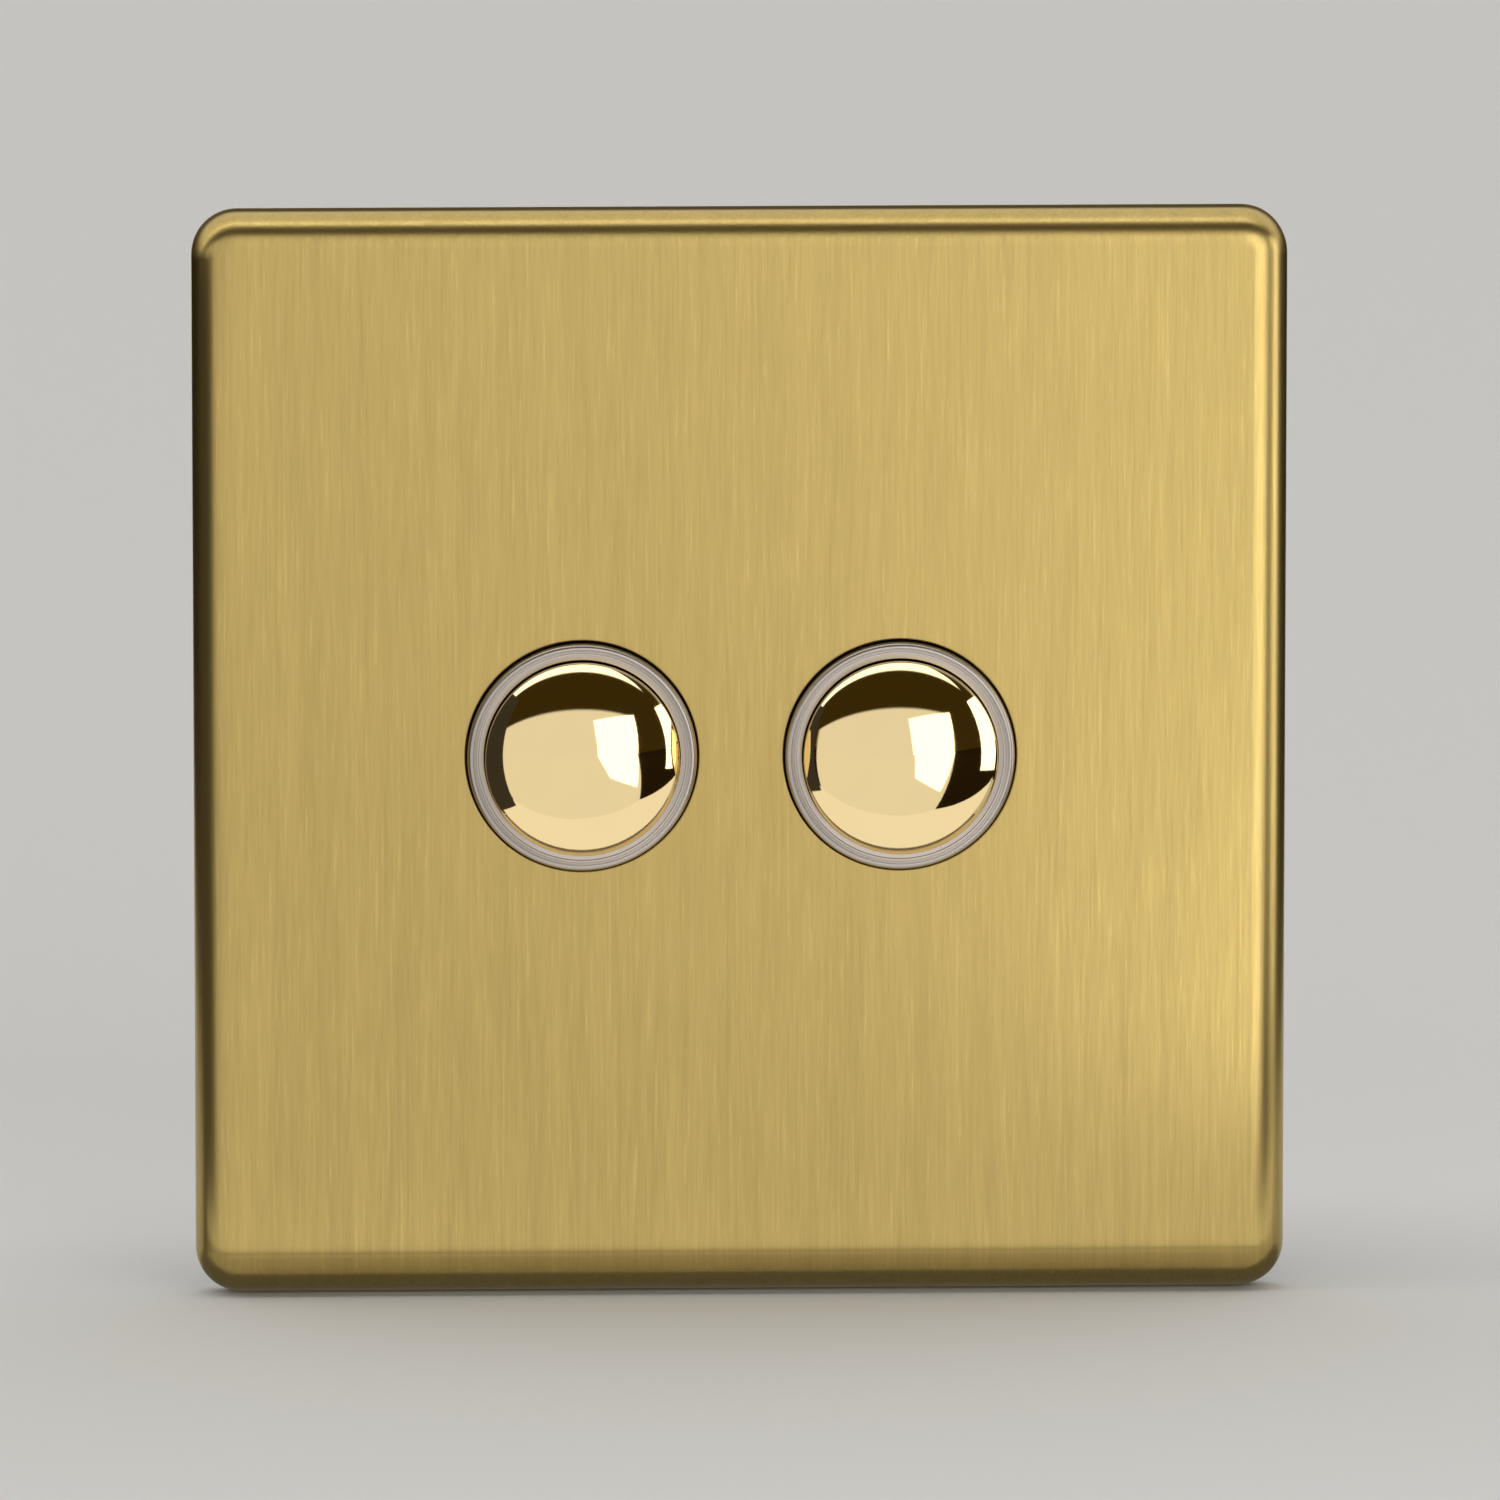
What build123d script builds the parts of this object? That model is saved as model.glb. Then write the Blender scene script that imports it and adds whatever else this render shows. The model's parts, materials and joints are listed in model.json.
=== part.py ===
from build123d import *
import os
from math import radians, sin, sqrt, tan

# Two gang intermediate push switch on a screwless wall plate, in millimetres.
# X runs to the right, Z runs up and Y runs into the wall. The origin is the middle of
# the wall's surface. Places along Y are called front (low Y) and rear (high Y).

# Wall plate, a folded brass sheet
plate_size = 86.0
plate_corner_radius = 3.6
plate_sheet = 1.0
plate_depth = 4.2
plate_edge_radius = 1.9
plate_hole_gap = 0.15
plate_hole_break = 0.12

# Gasket between the wall and the plates
gasket_thickness = 0.5
gasket_inset = 0.3
gasket_band = 7.7
gasket_opening_radius = 5.0

# Push button and its collar
button_diameter = 15.3
button_gap = 0.2
button_side = 1.0
dome_height = 3.2
cap_wall = 0.5
travel = 3.0
collar_wall = 1.175
collar_proud = 0.9
collar_edge_radius = 0.25
collar_lip_width = 0.32
collar_lip_drop = 0.22
collar_fit = 0.1
collar_flange_width = 1.275
collar_flange_thickness = 1.4
collar_guide_length = 2.3
collar_guide_step = 0.3

# Ring nut that clamps a module to the grid plate
nut_band = 2.0
nut_thickness = 1.6
nut_thread_gap = 0.05
nut_notch_width = 2.2
nut_notch_depth = 1.0
nut_notches = 4
nut_notch_turn = 45.0
nut_chamfer = 0.25

# Grid plate
grid_sheet = 1.2
grid_margin = 0.7
grid_corner_radius = 3.0
fixing_centres = 60.3
slot_width = 4.0
slot_length = 7.5
bead_length = 38.0
bead_width = 3.0
bead_height = 0.5
bead_slope = 45.0
bead_height_above_centre = 33.5

# Clip frame bonded inside the wall plate
clip_bond = 0.1
clip_panel = 1.2
clip_skirt = 1.2
clip_skirt_depth = 2.8
clip_nut_gap = 0.4
clip_window_width = 9.6
clip_window_height = 10.0
clip_window_corner = 2.4
claw_width = 5.6
claw_thickness = 2.2
claw_reach = 2.4
claw_split = 2.4
claw_tip_chamfer = 0.55
claw_bump = 0.3
claw_bump_gap = 0.3
claw_bump_ramp = 0.9
claw_slot_gap = 0.1
claw_offset = 2.3

# Module shells
module_gap = 0.6
nut_margin = 1.125
module_wall = 1.3
module_corner_radius = 1.5
cover_front_wall = 1.8
cover_length = 6.7
pip_diameter = 2.0
pip_length = 0.9
pip_fit = 0.1
pip_height_above_centre = 19.0
rail_gap = 0.2
rail_width = 1.0
rail_notch_gap = 0.6
tongue_thickness = 0.6
tongue_length = 0.9
tongue_gap = 0.1
chamber_half_height = 9.5
cross_wall = 1.0
terminal_bay = 11.2
bay_divider = 1.2
rear_wall = 1.5
rear_edge_radius = 0.6

# Snap hooks of the cover, and the catches of the base that they close over
hook_width = 5.0
hook_thickness = 0.9
hook_root = 2.6
hook_reach = 4.2
hook_gap = 0.1
hook_bite = 0.2
hook_tip = 0.9
hook_window_width = 3.4
hook_window_length = 2.0
catch_gap = 0.15
catch_length = 1.6
catch_rise = 0.6

# Plunger under the cap, with its twisted stem
plunger_gap = 0.1
plunger_wall = 1.1
plunger_head = 1.6
spigot_length = 4.4
spigot_gap = 0.05
stop_gap = 0.1
stop_flange_width = 0.75
stop_flange_thickness = 1.0
wing_width = 2.8
wing_reach = 10.2
neck_radius = 2.6
stem_side = 4.6
stem_corner = 0.5
stem_fit = 0.15
stem_engagement = 2.2
twist_lead = 12.0

# Return spring
spring_radius = 4.8
spring_wire = 0.7
spring_wire_sides = 4
spring_turns = 4.0
spring_seat_gap = 0.05

# Bearing plate, driver and rotor
overtravel = 0.5
bearing_thickness = 1.2
bearing_side_gap = 0.1
hub_radius = 3.95
hub_proud = 1.2
hub_fit = 0.1
axial_play = 0.2
driver_radius = 7.0
driver_thickness = 2.6
ratchet_teeth = 4
tooth_height = 0.8
tooth_width = 5.0
tooth_inner_radius = 4.4
tooth_outer_radius = 6.4
rotor_radius = 7.5
rotor_thickness = 2.2
rotor_hollow_radius = 3.5
stem_tip_gap = 0.4
rotor_hub_radius = 3.1
rotor_hub_length = 2.3
rotor_rib_width = 1.6
rotor_rib_reach = 7.2
journal_radius = 2.0
journal_fit = 0.08
journal_end_gap = 0.1
journal_boss_wall = 1.2
journal_end_wall = 0.9

# Contacts, in the order that they stack towards the rear
contact_circle_radius = 5.3
pad_diagonal = 45.0
bridge_width = 2.4
bridge_thickness = 0.6
stud_radius = 0.8
stud_height = 0.5
stud_rounding = 0.3
contact_gap = 0.1
leaf_room = 2.1
leaf_thickness = 0.25
leaf_width = 1.6
leaf_half_length = 3.0
leaf_gap = 0.05
leaf_centre_radius = 4.8
pad_radius = 1.5
strip_thickness = 0.6
strip_width = 2.4

# Terminals
terminal_width = 6.4
terminal_length = 8.0
terminal_depth = 7.4
terminal_corner = 0.5
cable_bore_radius = 2.0
cable_bore_wall = 1.0
cable_notch_gap = 0.5
terminal_side_gap = 0.1
terminal_rib_width = 2.0
strip_notch_gap = 0.2
strip_foot_margin = 0.4
screw_radius = 1.75
screw_fit = 0.1
screw_tip_chamfer = 0.4
screw_tip_gap = 0.1
screw_slot_width = 0.8
screw_slot_depth = 0.9
screw_access_gap = 0.5
screw_access_taper = 15.0
screw_recess = 0.8
earth_width = 7.0
earth_length = 7.0
earth_depth = 6.6
earth_bore_radius = 1.9
earth_rivet_radius = 1.6
earth_rivet_head = 0.4
earth_screw_proud = 0.6
earth_below_centre = 29.0

# Places along Y, from the wall towards the front
wall_y = 0.0
grid_rear_y = wall_y - gasket_thickness
grid_front_y = grid_rear_y - grid_sheet
plate_face_y = grid_rear_y - plate_depth
plate_inside_y = plate_face_y + plate_sheet
collar_front_y = plate_face_y - collar_proud
cap_edge_y = collar_front_y - button_side
cap_top_y = cap_edge_y - dome_height
cap_rear_y = collar_front_y + spigot_length
clip_panel_rear_y = plate_inside_y + clip_panel

# Places along Y, from the grid plate towards the rear
cover_wall_rear_y = grid_rear_y + cover_front_wall
cover_rear_y = cover_wall_rear_y + cover_length
collar_flange_rear_y = cover_wall_rear_y + collar_flange_thickness
collar_rear_y = collar_flange_rear_y + collar_guide_length
stop_front_y = collar_rear_y + stop_gap
stop_rear_y = stop_front_y + stop_flange_thickness
bearing_front_y = stop_rear_y + travel + overtravel
bearing_rear_y = bearing_front_y + bearing_thickness
driver_front_y = bearing_rear_y + axial_play
driver_rear_y = driver_front_y + driver_thickness
hub_front_y = driver_front_y - hub_proud
twist_front_y = hub_front_y - travel - overtravel
stem_tip_y = driver_front_y + stem_engagement
rotor_tooth_y = driver_rear_y + tooth_height + axial_play
rotor_front_y = rotor_tooth_y + tooth_height
rotor_rear_y = rotor_front_y + rotor_thickness
rotor_hub_rear_y = rotor_rear_y + rotor_hub_length
rotor_hollow_y = stem_tip_y + travel + stem_tip_gap
bridge_front_y = rotor_rear_y + leaf_room
bridge_rear_y = bridge_front_y + bridge_thickness
strip_front_y = bridge_rear_y + stud_height + contact_gap
floor_y = strip_front_y + strip_thickness
module_rear_y = floor_y + rear_wall
journal_pocket_y = module_rear_y - journal_end_wall

# Round sizes that follow from the button
collar_bore_radius = button_diameter / 2 + button_gap
collar_radius = collar_bore_radius + collar_wall
collar_hole_radius = collar_radius + collar_fit
collar_flange_radius = collar_radius + collar_flange_width
collar_guide_radius = collar_radius - collar_guide_step
nut_bore_radius = collar_radius + nut_thread_gap
nut_radius = nut_bore_radius + nut_band
plunger_radius = collar_bore_radius - plunger_gap
cap_inner_radius = button_diameter / 2 - cap_wall
dome_radius = ((button_diameter / 2) ** 2 + dome_height**2) / (2 * dome_height)
dome_centre_y = cap_top_y + dome_radius
cap_inner_edge_y = dome_centre_y - sqrt((dome_radius - cap_wall) ** 2 - cap_inner_radius**2)

# Widths and heights that follow
module_width = 2 * (nut_radius + nut_margin)
module_inner_width = module_width - 2 * module_wall
module_pitch = module_width + module_gap
bay_half_height = chamber_half_height + cross_wall + terminal_bay
module_height = 2 * (bay_half_height + module_wall)
clip_outer = plate_size - 2 * (plate_sheet + clip_bond)
grid_size = clip_outer - 2 * (clip_skirt + grid_margin)
claw_x = module_pitch / 2 + module_width / 2 + claw_offset
terminal_x = (module_inner_width + bay_divider) / 4
terminal_z = chamber_half_height + cross_wall + terminal_bay / 2
terminal_front_y = strip_front_y - terminal_depth
cable_y = terminal_front_y + cable_bore_wall + cable_bore_radius
pad_offset = contact_circle_radius * sin(radians(pad_diagonal))
rail_inner_z = collar_radius + collar_fit
rail_outer_z = wing_reach + rail_width
hook_z = module_height / 2 + hook_gap
hook_tip_y = cover_rear_y + hook_reach
hook_window_rear_y = hook_tip_y - hook_tip

sides = {"left": -module_pitch / 2, "right": module_pitch / 2}
both_modules = [(x, 0) for x in sides.values()]
claw_points = [(x, z) for x in (-claw_x, claw_x) for z in (-claw_x, claw_x)]
quadrants = {1: (-1, 1), 2: (1, 1), 3: (1, -1), 4: (-1, -1)}
pip_points = [(x, z) for x in sides.values() for z in (-pip_height_above_centre, pip_height_above_centre)]


def facing(y, x=0.0):
    """A plane across Y that faces the front, with its own X to the right and Y up."""
    return Plane(origin=(x, y, 0), x_dir=(1, 0, 0), z_dir=(0, -1, 0))


def turning(x):
    """A plane for the profiles that are revolved about a module's axis: radius, then Y."""
    return Plane(origin=(x, 0, 0), x_dir=(1, 0, 0), z_dir=(0, 0, 1))


def module_axis(x):
    return Axis((x, 0, 0), (0, 1, 0))


def save(part, name):
    part.label = name
    export_step(part, f"parts/{name}.step")


def make_front_plate():
    with BuildPart() as front_plate:
        with BuildSketch(facing(grid_rear_y)):
            RectangleRounded(plate_size, plate_size, plate_corner_radius)
        extrude(amount=plate_depth)
        fillet(front_plate.edges().group_by(Axis.Y)[0], plate_edge_radius)
        offset(amount=-plate_sheet, openings=front_plate.faces().sort_by(Axis.Y)[-1])
        with BuildSketch(facing(plate_inside_y)):
            with Locations(*both_modules):
                Circle(collar_radius + plate_hole_gap)
        extrude(amount=plate_sheet, mode=Mode.SUBTRACT)
        hole_edges = front_plate.edges().filter_by(GeomType.CIRCLE).group_by(Axis.Y)[0]
        fillet(hole_edges, plate_hole_break)
    return front_plate.part


def make_clip_frame():
    with BuildPart() as clip_frame:
        with BuildSketch(facing(plate_inside_y + clip_skirt_depth)):
            RectangleRounded(clip_outer, clip_outer, plate_corner_radius - plate_sheet)
            inner = clip_outer - 2 * clip_skirt
            inner_corner = plate_corner_radius - plate_sheet - clip_skirt
            RectangleRounded(inner, inner, inner_corner, mode=Mode.SUBTRACT)
        extrude(amount=clip_skirt_depth)
        with BuildSketch(facing(clip_panel_rear_y)):
            RectangleRounded(clip_outer, clip_outer, plate_corner_radius - plate_sheet)
        extrude(amount=clip_panel)
        chamfer(clip_frame.edges().group_by(Axis.Y)[0], plate_edge_radius - plate_sheet)
        with BuildSketch(facing(clip_panel_rear_y)):
            with Locations(*both_modules):
                Circle(nut_radius + clip_nut_gap)
            with Locations((-fixing_centres / 2, 0), (fixing_centres / 2, 0)):
                RectangleRounded(clip_window_width, clip_window_height, clip_window_corner)
        extrude(amount=clip_panel, mode=Mode.SUBTRACT)
        with BuildSketch(facing(grid_rear_y + claw_reach)):
            with Locations(*claw_points):
                Rectangle(claw_width, claw_thickness)
                Rectangle(claw_split, claw_thickness, mode=Mode.SUBTRACT)
        extrude(amount=grid_rear_y + claw_reach - clip_panel_rear_y)
        claw_tips = clip_frame.edges().group_by(Axis.Y)[-1].filter_by(Axis.X)
        chamfer(claw_tips, claw_tip_chamfer)
        for x, z in claw_points:
            for side in (-1, 1):
                bump_x = x + side * claw_width / 2
                bump_y = grid_rear_y + claw_bump_gap
                with BuildSketch(Plane.XY.offset(z - claw_thickness / 2)):
                    with BuildLine():
                        Polyline(
                            (bump_x, bump_y),
                            (bump_x + side * claw_bump, bump_y + claw_bump),
                            (bump_x, bump_y + claw_bump + claw_bump_ramp),
                            close=True,
                        )
                    make_face()
                extrude(amount=claw_thickness)
    return clip_frame.part


def make_wall_gasket():
    with BuildPart() as wall_gasket:
        with BuildSketch(facing(wall_y)):
            outer = plate_size - 2 * gasket_inset
            opening = outer - 2 * gasket_band
            RectangleRounded(outer, outer, plate_corner_radius - gasket_inset)
            RectangleRounded(opening, opening, gasket_opening_radius, mode=Mode.SUBTRACT)
        extrude(amount=gasket_thickness)
    return wall_gasket.part


def make_grid_plate():
    with BuildPart() as grid_plate:
        with BuildSketch(facing(grid_rear_y)):
            RectangleRounded(grid_size, grid_size, grid_corner_radius)
        extrude(amount=grid_sheet)
        beads = [(0, bead_height_above_centre), (0, -bead_height_above_centre)]
        with BuildSketch(facing(grid_front_y)):
            with Locations(*beads):
                SlotOverall(bead_length, bead_width)
        extrude(amount=bead_height, taper=bead_slope)
        with BuildSketch(facing(grid_rear_y)):
            with Locations(*beads):
                SlotOverall(bead_length - bead_width / 2, bead_width / 2)
        extrude(amount=bead_height, mode=Mode.SUBTRACT)
        with BuildSketch(facing(grid_rear_y)):
            with Locations(*both_modules):
                Circle(collar_hole_radius)
            with Locations((-fixing_centres / 2, 0), (fixing_centres / 2, 0)):
                SlotOverall(slot_length, slot_width)
            with Locations(*claw_points):
                slot_gap = 2 * claw_slot_gap
                Rectangle(claw_width + 2 * claw_bump + slot_gap, claw_thickness + slot_gap)
            with Locations(*pip_points):
                Circle(pip_diameter / 2 + pip_fit)
            with Locations((0, -earth_below_centre)):
                Circle(earth_rivet_radius)
        extrude(amount=grid_sheet + bead_height, mode=Mode.SUBTRACT)
    return grid_plate.part


def make_earth_terminal():
    with BuildPart() as earth_terminal:
        with BuildSketch(facing(grid_rear_y + earth_depth)):
            with Locations((0, -earth_below_centre)):
                RectangleRounded(earth_width, earth_length, terminal_corner)
        extrude(amount=earth_depth)
        with BuildSketch(facing(grid_rear_y)):
            with Locations((0, -earth_below_centre)):
                Circle(earth_rivet_radius)
        extrude(amount=grid_sheet + earth_rivet_head)
        bore_y = grid_rear_y + cable_bore_wall + earth_bore_radius
        with BuildSketch(Plane.XY.offset(-earth_below_centre - earth_length / 2)):
            with Locations((0, bore_y)):
                Circle(earth_bore_radius)
        extrude(amount=earth_length, mode=Mode.SUBTRACT)
        with BuildSketch(facing(grid_rear_y + earth_depth)):
            with Locations((0, -earth_below_centre)):
                Circle(screw_radius + screw_fit)
        extrude(amount=earth_depth - cable_bore_wall - earth_bore_radius, mode=Mode.SUBTRACT)
    return earth_terminal.part


def make_slotted_screws(points, tip_y, head_y):
    """Headless clamp screws along Y, at the given points, with a driver slot at the rear."""
    with BuildPart() as screws:
        with BuildSketch(facing(head_y)):
            with Locations(*points):
                Circle(screw_radius)
        extrude(amount=head_y - tip_y)
        chamfer(screws.edges().group_by(Axis.Y)[0], screw_tip_chamfer)
        with BuildSketch(facing(head_y)):
            with Locations(*points):
                Rectangle(2 * screw_radius + screw_fit, screw_slot_width)
        extrude(amount=screw_slot_depth, mode=Mode.SUBTRACT)
    return screws.part


def make_collar(x):
    with BuildPart() as collar:
        with BuildSketch(turning(x)):
            with BuildLine():
                Polyline(
                    (collar_bore_radius, collar_front_y + collar_lip_drop),
                    (collar_bore_radius + collar_lip_width, collar_front_y + collar_lip_drop),
                    (collar_bore_radius + collar_lip_width, collar_front_y),
                    (collar_radius, collar_front_y),
                    (collar_radius, cover_wall_rear_y),
                    (collar_flange_radius, cover_wall_rear_y),
                    (collar_flange_radius, collar_flange_rear_y),
                    (collar_guide_radius, collar_flange_rear_y),
                    (collar_guide_radius, collar_rear_y),
                    (collar_bore_radius, collar_rear_y),
                    close=True,
                )
            make_face()
        revolve(axis=module_axis(x))
        front_edges = collar.edges().filter_by(GeomType.CIRCLE).group_by(Axis.Y)[0]
        fillet(front_edges.sort_by(SortBy.RADIUS)[-1], collar_edge_radius)
        notch_width = wing_width + 2 * (rail_gap + rail_width + rail_notch_gap)
        with BuildSketch(facing(collar_flange_rear_y, x)):
            with GridLocations(0, 2 * (rail_inner_z + module_wall), 1, 2):
                Rectangle(notch_width, 2 * module_wall)
        extrude(amount=collar_flange_thickness, mode=Mode.SUBTRACT)
    return collar.part


def make_ring_nut(x):
    with BuildPart() as ring_nut:
        with BuildSketch(facing(grid_front_y, x)):
            Circle(nut_radius)
            Circle(nut_bore_radius, mode=Mode.SUBTRACT)
        extrude(amount=nut_thickness)
        chamfer(ring_nut.edges().filter_by(GeomType.CIRCLE), nut_chamfer)
        with BuildSketch(facing(grid_front_y, x)):
            with PolarLocations(nut_radius, nut_notches, start_angle=nut_notch_turn):
                Rectangle(2 * nut_notch_depth, nut_notch_width)
        extrude(amount=nut_thickness, mode=Mode.SUBTRACT)
    return ring_nut.part


def make_button_cap(x):
    radius = button_diameter / 2
    inner_top_y = cap_top_y + cap_wall
    inner_edge = (cap_inner_radius, cap_inner_edge_y)
    with BuildPart() as button_cap:
        with BuildSketch(turning(x)):
            with BuildLine():
                Line((0, inner_top_y), (0, cap_top_y))
                RadiusArc((0, cap_top_y), (radius, cap_edge_y), -dome_radius)
                Line((radius, cap_edge_y), (radius, cap_rear_y))
                Line((radius, cap_rear_y), (cap_inner_radius, cap_rear_y))
                Line((cap_inner_radius, cap_rear_y), inner_edge)
                RadiusArc(inner_edge, (0, inner_top_y), dome_radius - cap_wall)
            make_face()
        revolve(axis=module_axis(x))
    return button_cap.part


def twisted_bar(x, front_y, rear_y, side, corner):
    """A square bar along Y that makes one turn in each twist_lead, in step with the stem."""
    turn_at_front = -360 * (front_y - twist_front_y) / twist_lead
    turn_over_length = -360 * (rear_y - front_y) / twist_lead
    start = Plane(origin=(x, front_y, 0), x_dir=(1, 0, 0), z_dir=(0, 1, 0))
    with BuildSketch(start) as section:
        RectangleRounded(side, side, corner, rotation=turn_at_front)
    return Solid.extrude_linear_with_rotation(
        section.sketch.faces()[0], (x, front_y, 0), (0, rear_y - front_y, 0), turn_over_length
    )


def make_plunger(x):
    spigot_radius = cap_inner_radius - spigot_gap
    head_y = cap_inner_edge_y + plunger_head
    inner_radius = plunger_radius - plunger_wall
    stem = twisted_bar(x, twist_front_y, stem_tip_y, stem_side, stem_corner)
    with BuildPart() as plunger:
        with BuildSketch(turning(x)):
            with BuildLine():
                Polyline(
                    (0, cap_inner_edge_y),
                    (spigot_radius, cap_inner_edge_y),
                    (spigot_radius, cap_rear_y),
                    (plunger_radius, cap_rear_y),
                    (plunger_radius, stop_front_y),
                    (plunger_radius + stop_flange_width, stop_front_y),
                    (plunger_radius + stop_flange_width, stop_rear_y),
                    (inner_radius, stop_rear_y),
                    (inner_radius, head_y),
                    (neck_radius, head_y),
                    (neck_radius, twist_front_y),
                    (0, twist_front_y),
                    close=True,
                )
            make_face()
        revolve(axis=module_axis(x))
        with BuildSketch(facing(stop_rear_y, x)):
            Rectangle(wing_width, 2 * wing_reach)
            Circle(plunger_radius, mode=Mode.SUBTRACT)
        extrude(amount=stop_flange_thickness)
        add(stem)
    return plunger.part


def make_return_spring(x):
    front_y = cap_inner_edge_y + plunger_head + spring_wire / 2 + spring_seat_gap
    rear_y = bearing_front_y - spring_wire / 2 - spring_seat_gap
    length = rear_y - front_y
    with BuildPart() as return_spring:
        with BuildLine() as path:
            Helix(length / spring_turns, length, spring_radius, center=(x, front_y, 0), direction=(0, 1, 0))
        with BuildSketch(Plane(origin=path.line @ 0, z_dir=path.line % 0)):
            RegularPolygon(spring_wire / 2, spring_wire_sides)
        sweep(is_frenet=True)
    return return_spring.part


def make_bearing_plate(x):
    width = module_inner_width - 2 * bearing_side_gap
    height = 2 * (chamber_half_height + cross_wall)
    with BuildPart() as bearing_plate:
        with BuildSketch(facing(bearing_rear_y, x)):
            RectangleRounded(width, height, module_corner_radius)
            Circle(hub_radius + hub_fit, mode=Mode.SUBTRACT)
        extrude(amount=bearing_thickness)
    return bearing_plate.part


def saw_teeth(x, root_y, rise):
    """Ramped teeth that stand on the plane at root_y, to the rear where rise is above nought."""
    half = tooth_width / 2
    with BuildPart() as teeth:
        for number in range(ratchet_teeth):
            turn = 360 * number / ratchet_teeth
            base = Plane(Location((x, root_y, 0)) * Location((0, 0, 0), (0, turn, 0)))
            with BuildSketch(base.offset(tooth_inner_radius)):
                with BuildLine():
                    Polyline((-half, 0), (half, rise), (half, 0), close=True)
                make_face()
            extrude(amount=tooth_outer_radius - tooth_inner_radius)
    return teeth.part


def make_driver(x):
    hole_side = stem_side + 2 * stem_fit
    hole_front_y = hub_front_y - axial_play
    hole_rear_y = driver_rear_y + axial_play
    hole = twisted_bar(x, hole_front_y, hole_rear_y, hole_side, stem_corner + stem_fit)
    teeth = saw_teeth(x, driver_rear_y, tooth_height)
    with BuildPart() as driver:
        with BuildSketch(facing(driver_rear_y, x)):
            Circle(driver_radius)
        extrude(amount=driver_thickness)
        with BuildSketch(facing(driver_front_y, x)):
            Circle(hub_radius)
        extrude(amount=hub_proud)
        add(teeth)
        add(hole, mode=Mode.SUBTRACT)
    return driver.part


def make_rotor(x):
    teeth = saw_teeth(x, rotor_front_y, -tooth_height)
    with BuildPart() as rotor:
        with BuildSketch(facing(rotor_rear_y, x)):
            Circle(rotor_radius)
        extrude(amount=rotor_thickness)
        add(teeth)
        with BuildSketch(facing(rotor_hub_rear_y, x)):
            Circle(rotor_hub_radius)
            Rectangle(2 * rotor_rib_reach, rotor_rib_width)
        extrude(amount=rotor_hub_length)
        with BuildSketch(facing(journal_pocket_y - journal_end_gap, x)):
            Circle(journal_radius)
        extrude(amount=journal_pocket_y - journal_end_gap - rotor_hub_rear_y)
        with BuildSketch(facing(rotor_hollow_y, x)):
            Circle(rotor_hollow_radius)
        extrude(amount=rotor_hollow_y - rotor_front_y, mode=Mode.SUBTRACT)
    return rotor.part


def make_bridge_contact(x, up):
    """A curved bridge with two rounded studs. It joins two neighbouring fixed contacts."""
    arc = CenterArc((0, 0), contact_circle_radius, up * pad_diagonal, up * 2 * pad_diagonal)
    with BuildPart() as bridge:
        with BuildSketch(facing(bridge_rear_y, x)):
            SlotArc(arc, bridge_width)
        extrude(amount=bridge_thickness)
        with BuildSketch(facing(bridge_rear_y, x)):
            with Locations((-pad_offset, up * pad_offset), (pad_offset, up * pad_offset)):
                Circle(stud_radius)
        extrude(amount=-stud_height)
        fillet(bridge.edges().group_by(Axis.Y)[-1], stud_rounding)
    return bridge.part


def make_contact_spring(x, up):
    """A bowed leaf: its ends press on the rotor, and its middle on the bridge."""
    foot_y = rotor_rear_y + 2 * leaf_gap + leaf_thickness / 2
    crown_y = bridge_front_y - leaf_gap - leaf_thickness / 2
    with BuildPart() as leaf:
        with BuildSketch(Plane(origin=(x, 0, up * leaf_centre_radius - leaf_width / 2))):
            with BuildLine():
                ThreePointArc((-leaf_half_length, foot_y), (0, crown_y), (leaf_half_length, foot_y))
            trace(line_width=leaf_thickness)
        extrude(amount=leaf_width)
    return leaf.part


def make_fixed_contact(x, quadrant):
    across, up = quadrant
    foot_width = terminal_width - 2 * strip_foot_margin
    foot_length = terminal_length - 2 * strip_foot_margin
    with BuildPart() as strip:
        with BuildSketch(facing(floor_y, x)):
            with Locations((across * pad_offset, up * pad_offset)):
                Circle(pad_radius)
            with Locations((across * pad_offset, up * (pad_offset + terminal_z) / 2)):
                Rectangle(strip_width, terminal_z - pad_offset)
            with Locations((across * terminal_x, up * terminal_z)):
                RectangleRounded(foot_width, foot_length, terminal_corner)
                Circle(screw_radius + screw_fit, mode=Mode.SUBTRACT)
        extrude(amount=strip_thickness)
    return strip.part


def make_terminal(x, quadrant):
    across, up = quadrant
    centre_x = across * terminal_x
    with BuildPart() as terminal:
        with BuildSketch(facing(strip_front_y, x)):
            with Locations((centre_x, up * terminal_z)):
                RectangleRounded(terminal_width, terminal_length, terminal_corner)
        extrude(amount=terminal_depth)
        with BuildSketch(Plane.XY.offset(up * terminal_z - terminal_length / 2)):
            with Locations((x + centre_x, cable_y)):
                Circle(cable_bore_radius)
        extrude(amount=terminal_length, mode=Mode.SUBTRACT)
        with BuildSketch(facing(strip_front_y, x)):
            with Locations((centre_x, up * terminal_z)):
                Circle(screw_radius + screw_fit)
        extrude(amount=strip_front_y - cable_y, mode=Mode.SUBTRACT)
    return terminal.part


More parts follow.
